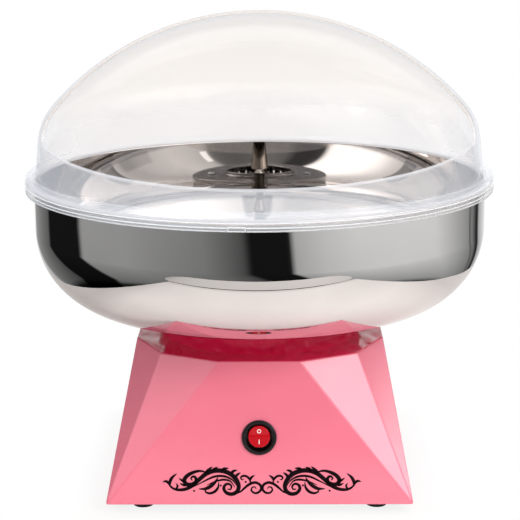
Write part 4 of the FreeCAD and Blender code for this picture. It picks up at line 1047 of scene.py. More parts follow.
def piece(name: str, mesh: bpy.types.Mesh, finish: Finish, body: Body, slot: str, *nodes: str) -> bpy.types.Object:
    """Add a finished piece.

    Args:
        name: its name.
        mesh: its mesh, in place.
        finish: its finish.
        body: the body that it rides on.
        slot: the record's slot that its finish comes from; not used.
        nodes: the solids that it stands for.

    Returns:
        The piece's object.
    """
    mesh.name = name
    mesh.materials.clear()
    mesh.materials.append(finish.material())
    mesh.polygons.foreach_set("material_index", [0] * len(mesh.polygons))
    made = linked(name, mesh)
    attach(made, body.value)
    if nodes:
        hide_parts(*nodes)
    LOG.info("%s: %d faces on %s", name, len(mesh.polygons), body.value)
    return made


@dataclass
class Housing:
    """Faceted pink housing: a square foot, a twelve-cornered deck, and corners folded into triangles."""

    foot_half: float = 0.1015
    foot_level: float = 0.007
    height: float = 0.0935
    deck_half: float = 0.0848
    deck_edge_half: float = 0.0265
    deck_corner_half: float = 0.0653
    wall: float = 0.0026
    deck_thickness: float = 0.003
    edge_round: float = 0.0011
    deck_hole: float = 0.036
    switch_hole: float = 0.0101
    gland_hole: float = 0.0065
    switch_level: float = 0.044
    gland_level: float = 0.016
    bevel_angle: float = 3.0
    smooth_angle: float = 24.0

    @property
    def lean(self) -> float:
        """Angle by which the faces lean back, in radians."""
        return math.atan((self.foot_half - self.deck_half) / self.height)

    @property
    def deck_level(self) -> float:
        """Level of the deck's top."""
        return self.foot_level + self.height

    def face(self, level: float, out: float = 0.0, back: bool = False) -> Matrix:
        """Place on the front or back face, with +Z out of the face and +Y up along it.

        Args:
            level: height above the housing's foot.
            out: distance out of the face.
            back: True for the back face.

        Returns:
            The place as a matrix.
        """
        reach = self.foot_half - level * math.tan(self.lean) + out * math.cos(self.lean)
        place = Matrix.Translation((0, -reach, self.foot_level + level + out * math.sin(self.lean)))
        front = place @ Matrix.Rotation(math.pi / 2 - self.lean, 4, "X")
        return Matrix.Rotation(math.pi, 4, "Z") @ front if back else front

    def facets(self, share: float, inset: float) -> bpy.types.Mesh:
        """Faceted solid from the foot upwards.

        Args:
            share: share of the height that it reaches.
            inset: distance by which its sides are moved in.

        Returns:
            The solid.
        """
        form = bmesh.new()
        low, high = self.foot_level, self.foot_level + self.height * share
        signs = ((1, 1), (-1, 1), (-1, -1), (1, -1))
        reach = self.foot_half - inset
        feet = [form.verts.new((across * reach, along * reach, low)) for across, along in signs]
        quarter = ((self.deck_half, self.deck_edge_half), (self.deck_corner_half, self.deck_corner_half),
                   (self.deck_edge_half, self.deck_half))
        tops = []
        for index, sign in enumerate(signs):
            for corner in quarter if index % 2 == 0 else quarter[::-1]:
                place = [side * (self.foot_half + (part - self.foot_half) * share - inset)
                         for side, part in zip(sign, corner)]
                tops.append(form.verts.new((*place, high)))
        form.faces.new(feet)
        form.faces.new(tops)
        for index, foot in enumerate(feet):
            first, middle, last = tops[3 * index:3 * index + 3]
            form.faces.new((foot, first, middle))
            form.faces.new((foot, middle, last))
            form.faces.new((foot, last, tops[(3 * index + 3) % len(tops)], feet[(index + 1) % len(feet)]))
        bmesh.ops.recalc_face_normals(form, faces=form.faces)
        return plain(form, "facets")

    def holes(self) -> list[bpy.types.Mesh]:
        """Cutters for the room inside, the deck's hole and the two holes in the faces.

        Returns:
            The cutters.
        """
        depth = 2 * CUT_MARGIN
        ceiling = self.height - self.deck_thickness
        inset = self.wall / math.cos(self.lean)
        room = self.facets(ceiling / self.height, inset)
        half = self.foot_half - inset
        below = prism_mesh(rectangle(half, half), self.foot_level - CUT_MARGIN, self.foot_level + WELD)
        deck = prism_mesh(circle(self.deck_hole, LARGE_STEPS), self.deck_level - depth, self.deck_level + depth)
        switch = moved(prism_mesh(circle(self.switch_hole, MIDDLE_STEPS), -depth, depth),
                       self.face(self.switch_level))
        gland = moved(prism_mesh(circle(self.gland_hole, SMALL_STEPS), -depth, depth),
                      self.face(self.gland_level, back=True))
        return [carved(room, [below], "UNION"), deck, switch, gland]

    def build(self) -> None:
        """Make the housing."""
        outside = bevelled(self.facets(1.0, 0.0), self.edge_round, angle=self.bevel_angle)
        shell = smoothed(carved(outside, self.holes()), self.smooth_angle)
        piece("housing_shell", shell, Finishes.PINK, Body.BASE, "housing_pink", "base_housing")


def circle(radius: float, steps: int) -> list[Point]:
    """Points of a circle."""
    return [(radius * math.cos(math.tau * step / steps), radius * math.sin(math.tau * step / steps))
            for step in range(steps)]


def rectangle(half_width: float, half_height: float) -> list[Point]:
    """Corners of a rectangle round the origin."""
    return [(-half_width, -half_height), (half_width, -half_height), (half_width, half_height),
            (-half_width, half_height)]


def at_corners(across: float, along: float, level: float) -> list[tuple[float, float, float]]:
    """Four places round Z, one in each quarter."""
    return [(side * across, end * along, level) for side, end in SIGNS]


@dataclass
class Bowl:
    """Spun steel bowl with a turned-up lip, a shallow floor, a round corner and a rolled rim, and what it sits on."""

    radius: float = 0.1546
    wall: float = 0.0008
    level: float = 0.1165
    height: float = 0.0928
    corner: float = 0.0545
    turn: float = 76.0
    flat: float = 0.060
    hole: float = 0.052
    lip: float = 0.008
    bead: float = 0.0016
    steps: int = 288
    seat_level: float = 0.115
    seat_radius: float = 0.070
    seat_wall: float = 0.003
    deck_level: float = 0.1005
    spigot: float = 0.0515
    spigot_top: float = 0.130

    lip_round: float = 0.0012
    lip_inner_round: float = 0.0006
    floor_steps: int = 20
    corner_steps: int = 48
    seat_round: float = 0.0012
    spigot_round: float = 0.0008
    seat_steps: int = 128

    def bowl_outline(self) -> Outline:
        """Half outline of the bowl's wall.

        Returns:
            The outline.
        """
        turn = math.radians(self.turn)
        run = self.corner * (1 - math.cos(turn))
        shallow = (self.radius - run - self.flat) / math.cos(turn)
        corner_centre = (self.radius - self.corner,
                         self.level + shallow * (1 - math.sin(turn)) + self.corner * math.sin(turn))
        floor_centre = (self.flat, self.level + shallow)
        inner = self.radius - self.wall
        bead_centre = (inner + self.bead, self.level + self.height - self.bead)
        bead_start = -180 + math.degrees(math.acos((self.bead - self.wall) / self.bead))
        outline = Outline().to((self.hole, self.level + self.lip), (self.hole, self.level, self.lip_round),
                               (self.flat, self.level))
        outline.arc(floor_centre, shallow, -90, -self.turn, self.floor_steps)
        outline.arc(corner_centre, self.corner, -self.turn, 0, self.corner_steps)
        outline.arc(bead_centre, self.bead, bead_start, 180, self.floor_steps)
        outline.arc(corner_centre, self.corner - self.wall, 0, -self.turn, self.corner_steps)
        outline.arc(floor_centre, shallow - self.wall, -self.turn, -90, self.floor_steps)
        lip = self.hole + self.wall
        return outline.to((lip, self.level + self.wall, self.lip_inner_round), (lip, self.level + self.lip))

    def seat_outline(self) -> Outline:
        """Half outline of the pedestal with its spigot.

        Returns:
            The outline.
        """
        under = self.seat_level - self.seat_wall
        spigot_in = self.spigot - self.seat_wall
        outline = Outline().to((spigot_in, self.deck_level), (self.spigot, self.deck_level))
        outline.to((self.spigot, under), (self.seat_radius - self.seat_wall, under))
        outline.to((self.seat_radius - self.seat_wall, self.deck_level), (self.seat_radius, self.deck_level))
        outline.to((self.seat_radius, self.seat_level, self.seat_round), (self.spigot, self.seat_level))
        return outline.to((self.spigot, self.spigot_top, self.spigot_round),
                          (spigot_in, self.spigot_top, self.spigot_round), (spigot_in, self.deck_level))

    def build(self) -> None:
        """Make the bowl and its pedestal."""
        bowl = turned_mesh(self.bowl_outline(), Finishes.STEEL, self.steps)
        piece("spun_bowl", bowl, Finishes.STEEL, Body.BOWL, "mirror_steel", "bowl")
        seat = turned_mesh(self.seat_outline(), Finishes.COLLAR, self.seat_steps)
        piece("pedestal", seat, Finishes.COLLAR, Body.BASE, "housing_pink", "bowl_seat")


@dataclass
class Cover:
    """Clear hood with a skirt over the bowl's rim, a ledge, a short wall and a dome, open at the front."""

    wall_radius: float = 0.1532
    wall: float = 0.002
    skirt_in: float = 0.1583
    skirt_out: float = 0.1605
    skirt_foot: float = 0.203
    under: float = 0.2096
    ledge: float = 0.214
    shoulder: float = 0.004
    spigot: float = 0.0012
    rise: float = 0.024
    draft: float = 0.0026
    corner_run: float = 0.0106
    corner_rise: float = 0.022
    corner: float = 0.0392
    crown: float = 0.0615
    mouth_rise: float = 0.0121
    mouth_slope: float = 6.4
    mouth_foot: float = 0.045
    mouth_lean: float = 32.4
    mouth_corner: float = 0.012
    sill_radius: float = 0.1546
    bead: float = 0.0022
    rib: float = 0.00045
    rib_levels: tuple[float, ...] = (0.2036, 0.2055, 0.2082)
    steps: int = 256
    skirt_step: float = 0.0001
    band_foot: float = 0.0022
    band_top: float = 0.0048
    band_in: float = 0.0004
    foot_rounds: Point = (0.0004, 0.0005)
    fold_round: float = 0.0006
    shoulder_steps: int = 10
    corner_steps: int = 16
    crown_steps: int = 40
    edge_points: int = 90
    edge_samples: int = 4000
    edge_crown_steps: int = 60
    bead_sides: int = 12
    rib_turn: float = 345.0
    rib_steps: int = 11
    mark_left: float = 0.0116
    mark_half: float = 0.0052
    mark_levels: Point = (0.2036, 0.2062)
    mark_line: float = 0.0007
    mark_sides: int = 8

    @property
    def bend_top(self) -> float:
        """Level where the bend over the wall meets the crown."""
        return self.ledge + self.rise + self.corner_rise

    def crown_arc(self) -> tuple[float, float, float, float]:
        """The crown's curve.

        Returns:
            Its radius, its centre's level, its edge's radius and its edge's angle.
        """
        edge = self.wall_radius - self.draft - self.corner_run
        radius = (edge * edge + self.crown * self.crown) / (2 * self.crown)
        centre_level = self.bend_top + self.crown - radius
        return radius, centre_level, edge, math.degrees(math.atan2(self.bend_top - centre_level, edge))

    def corner_arc(self, offset: float) -> list[Point]:
        """Points of the bend between the wall and the crown, on one skin.

        Args:
            offset: distance of the skin in from the outside.

        Returns:
            The points, from the wall upwards.
        """
        top = Vector((self.wall_radius - self.draft, self.ledge + self.rise))
        radius, centre_level, edge, _ = self.crown_arc()
        end = Vector((edge, self.bend_top))
        chord = end - top
        middle = (top + end) / 2
        side = Vector((-chord.y, chord.x)).normalized()
        centre = middle + side * math.sqrt(self.corner ** 2 - (chord.length / 2) ** 2)
        share = (radius - offset) / radius
        inner_end = Vector((edge * share, centre_level + (end.y - centre_level) * share))
        first = centre + (top - centre).normalized() * (self.corner - offset)
        last = centre + (end - centre).normalized() * (self.corner - offset)
        begin, finish = first - centre, last - centre
        sweep = math.atan2(begin.cross(finish), begin.dot(finish))
        points = []
        for step in range(self.corner_steps + 1):
            part = step / self.corner_steps
            place = centre + Matrix.Rotation(sweep * part, 2) @ begin
            points.append(tuple(place + (inner_end - last) * part))
        return points

    def shell_outline(self) -> Outline:
        """Half outline of the hood before its mouth is cut.

        Returns:
            The outline.
        """
        outer, band = self.skirt_out - self.skirt_step, self.skirt_out - self.band_in
        band_foot, band_top = self.skirt_foot + self.band_foot, self.skirt_foot + self.band_top
        in_round, out_round = self.foot_rounds
        outline = Outline().to((self.skirt_in, self.under), (self.skirt_in, self.skirt_foot, in_round),
                               (self.skirt_out, self.skirt_foot, out_round), (self.skirt_out, band_foot),
                               (band, band_foot + self.band_in), (band, band_top), (outer, band_top + self.band_in),
                               (outer, self.ledge - self.shoulder))
        outline.arc((outer - self.shoulder, self.ledge - self.shoulder), self.shoulder, 0, 90, self.shoulder_steps)
        outline.to((self.wall_radius, self.ledge, self.fold_round), self.corner_arc(0.0)[0])
        outline.points += self.corner_arc(0.0)[1:]
        radius, centre_level, _, start = self.crown_arc()
        outline.arc((0.0, centre_level), radius, start, 90, self.crown_steps)
        outline.arc((0.0, centre_level), radius - self.wall, 90, start, self.crown_steps)
        outline.points += self.corner_arc(self.wall)[::-1][1:]
        wall_in, foot = self.wall_radius - self.wall, self.under - self.spigot
        return outline.to((wall_in, self.ledge), (wall_in, foot, self.fold_round),
                          (self.wall_radius, foot, self.fold_round), (self.wall_radius, self.under))

    def mouth_corners(self) -> list[tuple[float, ...]]:
        """Corners of the mouth's side view, from the front upwards.

        Returns:
            The corners as (y, z, rounding).
        """
        slope, lean = math.radians(self.mouth_slope), math.radians(self.mouth_lean)
        front = self.sill_radius + 2 * CUT_MARGIN
        sill = self.ledge + self.mouth_rise
        corner = sill + (self.sill_radius - self.mouth_foot) * math.tan(slope)
        top = self.bend_top + self.crown + CUT_MARGIN
        return [(-front, sill - (front - self.sill_radius) * math.tan(slope)),
                (-self.mouth_foot, corner, self.mouth_corner),
                ((top - corner) * math.tan(lean) - self.mouth_foot, top)]

    def mouth_cutter(self) -> bpy.types.Mesh:
        """Wedge that opens the front.

        Returns:
            The wedge, in place.
        """
        run = rounded(self.mouth_corners(), self.corner_steps)
        width = self.sill_radius + 2 * CUT_MARGIN
        loop = [*run, (run[0][0], run[-1][1])]
        return moved(prism_mesh(loop, -width, width), SIDE_ON)

    def skin_radius(self, level: float, skin: Sequence[Point]) -> float:
        """Radius of a skin at a level.

        Args:
            level: the level.
            skin: the skin's half outline.

        Returns:
            The radius, or 0 above and below the skin.
        """
        for (r1, z1), (r2, z2) in zip(skin, skin[1:]):
            if min(z1, z2) <= level <= max(z1, z2) and abs(z2 - z1) > WELD / 100:
                return r1 + (r2 - r1) * (level - z1) / (z2 - z1)
        return 0.0

    def mouth_edge(self) -> list[tuple[float, float, float]]:
        """Points round the mouth's rim, on the middle of the wall.

        Returns:
            The points as a loop.
        """
        middle = self.wall / 2
        skin = Outline().to((self.wall_radius - middle, self.ledge), self.corner_arc(middle)[0])
        skin.points += self.corner_arc(middle)[1:]
        radius, centre_level, _, start = self.crown_arc()
        skin.arc((0.0, centre_level), radius - middle, start, 90, self.edge_crown_steps)
        run = [Vector(point) for point in rounded(self.mouth_corners(), self.corner_steps)]
        lengths = [0.0]
        for before, after in zip(run, run[1:]):
            lengths.append(lengths[-1] + (after - before).length)

        def at(length: float) -> Vector:
            """Place on the cutter's side view.

            Args:
                length: how far along it.

            Returns:
                The place as (y, z).
            """
            for index in range(1, len(run)):
                if length <= lengths[index]:
                    share = (length - lengths[index - 1]) / (lengths[index] - lengths[index - 1])
                    return run[index - 1].lerp(run[index], share)
            return run[-1]

        def room(length: float) -> float:
            """Square of the half width that the wall has there, or less than nothing past it."""
            place = at(length)
            return self.skin_radius(place.y, skin.points) ** 2 - place.x ** 2

        samples = (lengths[-1] * step / self.edge_samples for step in range(self.edge_samples + 1))
        inside = [length for length in samples if room(length) >= 0]
        begin, finish = inside[0], inside[-1]
        half = []
        for step in range(self.edge_points + 1):
            length = begin + (finish - begin) * (1 - math.cos(math.pi * step / self.edge_points)) / 2
            place = at(length)
            half.append((math.sqrt(max(room(length), 0.0)), place.x, place.y))
        return half + [(-x, y, z) for x, y, z in half[-2:0:-1]]

    def mark(self) -> list[bpy.types.Mesh]:
        """Small raised frame moulded on the front of the skirt.

        Returns:
            Its four bars.
        """
        outer = self.skirt_out - self.skirt_step
        half = self.mark_half
        low, high = self.mark_levels
        rails = [((-half, level), (half, level)) for level in (low, high)]
        posts = [((side, low), (side, high)) for side in (-half, half)]
        bars = []
        for ends in (*rails, *posts):
            places = [(x - self.mark_left, -math.sqrt(outer ** 2 - (x - self.mark_left) ** 2), z) for x, z in ends]
            bars.append(rod(places, self.mark_line, self.mark_sides, Finishes.CLEAR))
        return bars

    def rib_outline(self, level: float) -> Outline:
        """Half outline of a fine rib round the skirt."""
        centre = (self.skirt_out - self.rib, level)
        return Outline().arc(centre, self.rib, 0, self.rib_turn, self.rib_steps)

    def build(self) -> None:
        """Make the hood, the bead round its mouth, and the ribs and mark on its skirt."""
        shell = turned_mesh(self.shell_outline(), Finishes.CLEAR, self.steps)
        hood = smoothed(carved(shell, [self.mouth_cutter()]))
        piece("hood", hood, Finishes.CLEAR, Body.COVER, "clear_plastic", "dome_cover")
        bead = rod(self.mouth_edge(), self.bead, self.bead_sides, Finishes.CLEAR, loop=True)
        piece("mouth_bead", smoothed(bead), Finishes.CLEAR, Body.COVER, "clear_plastic")
        # The mark and the ribs are near solid white: painted highlight on the relief.
        piece("moulded_mark", smoothed(joined(*self.mark())), Finishes.PAINTED_GLINT, Body.COVER, "clear_plastic")
        ribs = [turned_mesh(self.rib_outline(level), Finishes.PAINTED_GLINT, self.steps) for level in self.rib_levels]
        piece("skirt_ribs", joined(*ribs), Finishes.PAINTED_GLINT, Body.COVER, "clear_plastic")


@dataclass
class Head:
    """Lid, knob and cap screws of the spinning head."""

    radius: float = 0.0465
    cap_level: float = 0.155
    cap_thickness: float = 0.002
    mouth: float = 0.022
    collar_height: float = 0.0025
    collar_wall: float = 0.0016
    hub_top: float = 0.157
    edge_rounds: Point = (0.0004, 0.0008)
    fillet: float = 0.001
    collar_round: float = 0.0006
    cap_steps: int = 128
    # radius, height over the hub and rounding, from the foot to the tip
    knob_profile: tuple[tuple[float, float, float], ...] = (
        (0.006, 0.003, 0.0005), (0.0042, 0.028, 0.003), (0.002, 0.035, 0.002), (0.002, 0.041, 0.0006),
        (0.0036, 0.0426, 0.0006), (0.0036, 0.0541, 0.0008), (0.0022, 0.0555, 0.0005),
    )

    def cap_outline(self) -> Outline:
        """Half outline of the lid with its collar.

        Returns:
            The outline.
        """
        top = self.cap_level + self.cap_thickness
        collar = self.mouth + self.collar_wall
        high = top + self.collar_height
        foot_round, top_round = self.edge_rounds
        return Outline().to((self.mouth, self.cap_level), (self.radius, self.cap_level, foot_round),
                            (self.radius, top, top_round), (collar, top, self.fillet),
                            (collar, high, self.collar_round), (self.mouth, high, self.collar_round),
                            (self.mouth, self.cap_level))

    def knob_outline(self) -> Outline:
        """Half outline of the knob.

        Returns:
            The outline.
        """
        base = self.hub_top
        corners = [(radius, base + height, rounding) for radius, height, rounding in self.knob_profile]
        return Outline().to((0.0, base), (corners[0][0], base), *corners, (0.0, corners[-1][1]))

    def build(self) -> None:
        """Make the lid and the knob."""
        lid = turned_mesh(self.cap_outline(), Finishes.CAST, self.cap_steps)
        piece("head_lid", lid, Finishes.CAST, Body.HEAD, "cast_head", "head_cap")
        knob = turned_mesh(self.knob_outline(), Finishes.KNOB, MIDDLE_STEPS)
        piece("lift_knob", knob, Finishes.KNOB, Body.HEAD, "polished_metal", "head_knob")


@dataclass
class Switch:
    """Round rocker switch in the front face, with its O and I marks."""

    level: float = 0.044
    bezel: float = 0.0115
    bezel_height: float = 0.002
    barrel: float = 0.0099
    barrel_length: float = 0.018
    well: float = 0.0088
    well_width: float = 0.0152
    well_depth: float = 0.0075
    pivot: float = 0.003
    reach: float = 0.007
    width: float = 0.0142
    round: float = 0.0072
    crest: float = 0.0054
    valley: float = 0.004
    keel: float = 0.003
    throw: float = 20.0
    barrel_round: float = 0.0006
    bezel_round: float = 0.0012
    bezel_inner: float = 0.0094
    bezel_inner_round: float = 0.0008
    floor_radius: float = 0.0090
    floor_level: float = 0.0010
    well_steps: int = 12
    rocker_round: float = 0.0006
    ring_radius: float = 0.00135
    ring_hole: float = 0.00085
    bar_half: Point = (0.00025, 0.0015)
    print_levels: Point = (-0.0001, 0.00012)
    mark_steps: int = 40

    def body_outline(self) -> Outline:
        """Half outline of the bezel and barrel."""
        return Outline().to((0.0, -self.barrel_length), (self.barrel, -self.barrel_length, self.barrel_round),
                            (self.barrel, 0.0), (self.bezel, 0.0), (self.bezel, self.bezel_height, self.bezel_round),
                            (self.bezel_inner, self.bezel_height, self.bezel_inner_round),
                            (self.floor_radius, self.floor_level), (0.0, self.floor_level))

    def well_cutter(self) -> bpy.types.Mesh:
        """Cutter for the well that the rocker tilts in.

        Returns:
            The cutter: a round well with two flat sides.
        """
        half_turn = math.pi / 2 - math.acos(self.well_width / 2 / self.well)
        loop = []
        for centre in (0.0, math.pi):
            for step in range(self.well_steps + 1):
                angle = centre + math.pi / 2 - half_turn * (1 - 2 * step / self.well_steps)
                loop.append((self.well * math.cos(angle), self.well * math.sin(angle)))
        return prism_mesh(loop, -self.well_depth, self.bezel_height + CUT_MARGIN)

    def rocker_mesh(self) -> bpy.types.Mesh:
        """Rocker in its own frame, its pivot at the origin.

        Returns:
            The rocker.
        """
        side = [(-self.reach, -self.keel), (self.reach, -self.keel), (self.reach, self.crest), (0.0, self.valley),
                (-self.reach, self.crest)]
        half = self.width / 2
        wedge = moved(prism_mesh(side, -half, half), SIDE_ON)
        drum = prism_mesh(circle(self.round, LARGE_STEPS), -2 * self.crest, 2 * self.crest)
        return smoothed(bevelled(carved(wedge, [drum], "INTERSECT"), self.rocker_round))

    def place(self, tilt: float = 0.0) -> Matrix:
        """Place of the rocker's own frame, tilted by an angle in degrees."""
        return Housing().face(self.level, -self.pivot) @ Matrix.Rotation(math.radians(tilt), 4, "X")

    def marks(self) -> list[bpy.types.Mesh]:
        """O on the upper face and I on the lower one, as thin raised print.

        Returns:
            The two marks, in place.
        """
        fall = math.atan((self.crest - self.valley) / self.reach)
        middle = self.reach / 2
        lift = (self.crest + self.valley) / 2
        ring, hole = (circle(radius, self.mark_steps) for radius in (self.ring_radius, self.ring_hole))
        upper = carved(prism_mesh(ring, *self.print_levels), [prism_mesh(hole, -self.ring_hole, self.ring_hole)])
        lower = prism_mesh(rectangle(*self.bar_half), *self.print_levels)
        return [moved(mesh, self.place(-self.throw / 2), Matrix.Translation((0, side * middle, lift)),
                      Matrix.Rotation(side * fall, 4, "X")) for mesh, side in ((upper, 1), (lower, -1))]

    def build(self) -> None:
        """Make the switch."""
        body = carved(turned_mesh(self.body_outline(), Finishes.SWITCH_BLACK, 96), [self.well_cutter()])
        body = moved(smoothed(body), Housing().face(self.level))
        piece("switch_bezel", body, Finishes.SWITCH_BLACK, Body.BASE, "switch_black", "switch_body")
        rocker = moved(self.rocker_mesh(), self.place(-self.throw / 2))
        piece("rocker_lens", rocker, Finishes.ROCKER_RED, Body.ROCKER, "rocker_red", "switch_rocker")
        piece("rocker_marks", joined(*self.marks()), Finishes.MARK_WHITE, Body.ROCKER, "rocker_red")


@dataclass
class Feet:
    """Four rubber feet."""

    side: float = 0.078
    front: float = 0.082
    height: float = 0.007
    toe: float = 0.007
    top: float = 0.008
    stem: float = 0.003
    plate: float = 0.0025
    barb: Point = (0.0042, 0.0018)
    barb_height: float = 0.002
    rounds: tuple[float, ...] = (0.0008, 0.0006, 0.0003, 0.0004)

    def outline(self) -> Outline:
        """Half outline of a foot with its stem and barb.

        Returns:
            The outline.
        """
        toe_round, top_round, barb_round, tip_round = self.rounds
        plate = self.height + self.plate
        barb, tip = self.barb
        return Outline().to((0.0, 0.0), (self.toe, 0.0, toe_round), (self.top, self.height, top_round),
                            (self.stem, self.height), (self.stem, plate), (barb, plate, barb_round),
                            (tip, plate + self.barb_height, tip_round), (0.0, plate + self.barb_height))

    def build(self) -> None:
        """Make the feet."""
        places = at_corners(self.side, self.front, 0.0)
        feet = copies(turned_mesh(self.outline(), Finishes.RUBBER, SMALL_STEPS), places, Finishes.RUBBER)
        piece("rubber_feet", feet, Finishes.RUBBER, Body.BASE, "black_rubber", "foot_rear_right", "foot_rear_left",
              "foot_front_left", "foot_front_right")


@dataclass(frozen=True)
class Screw:
    """Cross-recess pan-head screw, its head above the origin and its shank below."""

    head: float
    head_height: float
    shank: float
    length: float
    recess: float = 0.55
    recess_width: float = 0.16
    crown: float = 0.35
    crown_round: float = 0.6
    crown_flat: float = 0.5
    tip: float = 0.6
    tip_round: float = 0.2
    edge_round: float = 0.0002
    recess_foot: float = 0.4
    steps: int = 32

    def outline(self) -> Outline:
        """Half outline of the screw."""
        crown = self.head_height * self.crown
        return Outline().to((0.0, -self.length), (self.shank * self.tip, -self.length, self.shank * self.tip_round),
                            (self.shank, self.shank - self.length), (self.shank, 0.0),
                            (self.head, 0.0, self.edge_round),
                            (self.head, self.head_height - crown, crown * self.crown_round),
                            (self.head * self.crown_flat, self.head_height), (0.0, self.head_height))

    def mesh(self, hanging: bool = False) -> bpy.types.Mesh:
        """Mesh of one screw.

        Args:
            hanging: True for a screw that is upside down.

        Returns:
            The screw.
        """
        long, wide = self.head * self.recess, self.head * self.recess_width
        low, high = self.head_height * self.recess_foot, self.head_height * 2
        bars = [prism_mesh(rectangle(across, along), low, high) for across, along in ((long, wide), (wide, long))]
        cross = carved(bars[0], [bars[1]], "UNION")
        whole = smoothed(carved(turned_mesh(self.outline(), Finishes.ZINC, self.steps), [cross]))
        return moved(whole, Matrix.Rotation(math.pi, 4, "X")) if hanging else whole


@dataclass
class Fastenings:
    """Screws that show: four in the bottom plate and three in the head's lid."""

    plate: Screw = Screw(0.0034, 0.002, 0.0018, 0.0135)
    plate_side: float = 0.093
    plate_front: float = 0.055
    plate_level: float = 0.007
    lid: Screw = Screw(0.0026, 0.0015, 0.0014, 0.007)
    lid_circle: float = 0.033
    lid_level: float = 0.157
    lid_count: int = 3
    lid_first: float = 30.0

    def build(self) -> None:
        """Make the screws."""
        places = at_corners(self.plate_side, self.plate_front, self.plate_level)
        piece("plate_fastenings", copies(self.plate.mesh(True), places, Finishes.ZINC), Finishes.ZINC, Body.BASE,
              "zinc_steel", "plate_screws")
        ring = Forms.bake(TreeKind.RING, self.lid.mesh(), Count=self.lid_count, Radius=self.lid_circle,
                          Level=self.lid_level, First_angle=math.radians(self.lid_first),
                          Finish=Finishes.ZINC.material())
        piece("lid_fastenings", ring, Finishes.ZINC, Body.HEAD, "zinc_steel", "cap_screws")


@dataclass(frozen=True)
class Stroke:
    """One printed stroke of the right half: its run in millimetres, its widths, and where it is widest."""

    run: tuple[Point, ...]
    width: float
    swell: float = 0.5
    tip: float = 0.16

    def widths(self, count: int) -> list[float]:
        """Widths along the stroke, which swells and tapers.

        Args:
            count: how many points it has.

        Returns:
            The width at each of them.
        """
        made = []
        for index in range(count):
            share = index / (count - 1)
            side = share / self.swell if share < self.swell else (1 - share) / (1 - self.swell)
            made.append(self.width * (self.tip + (1 - self.tip) * math.sin(side * math.pi / 2)))
        return made


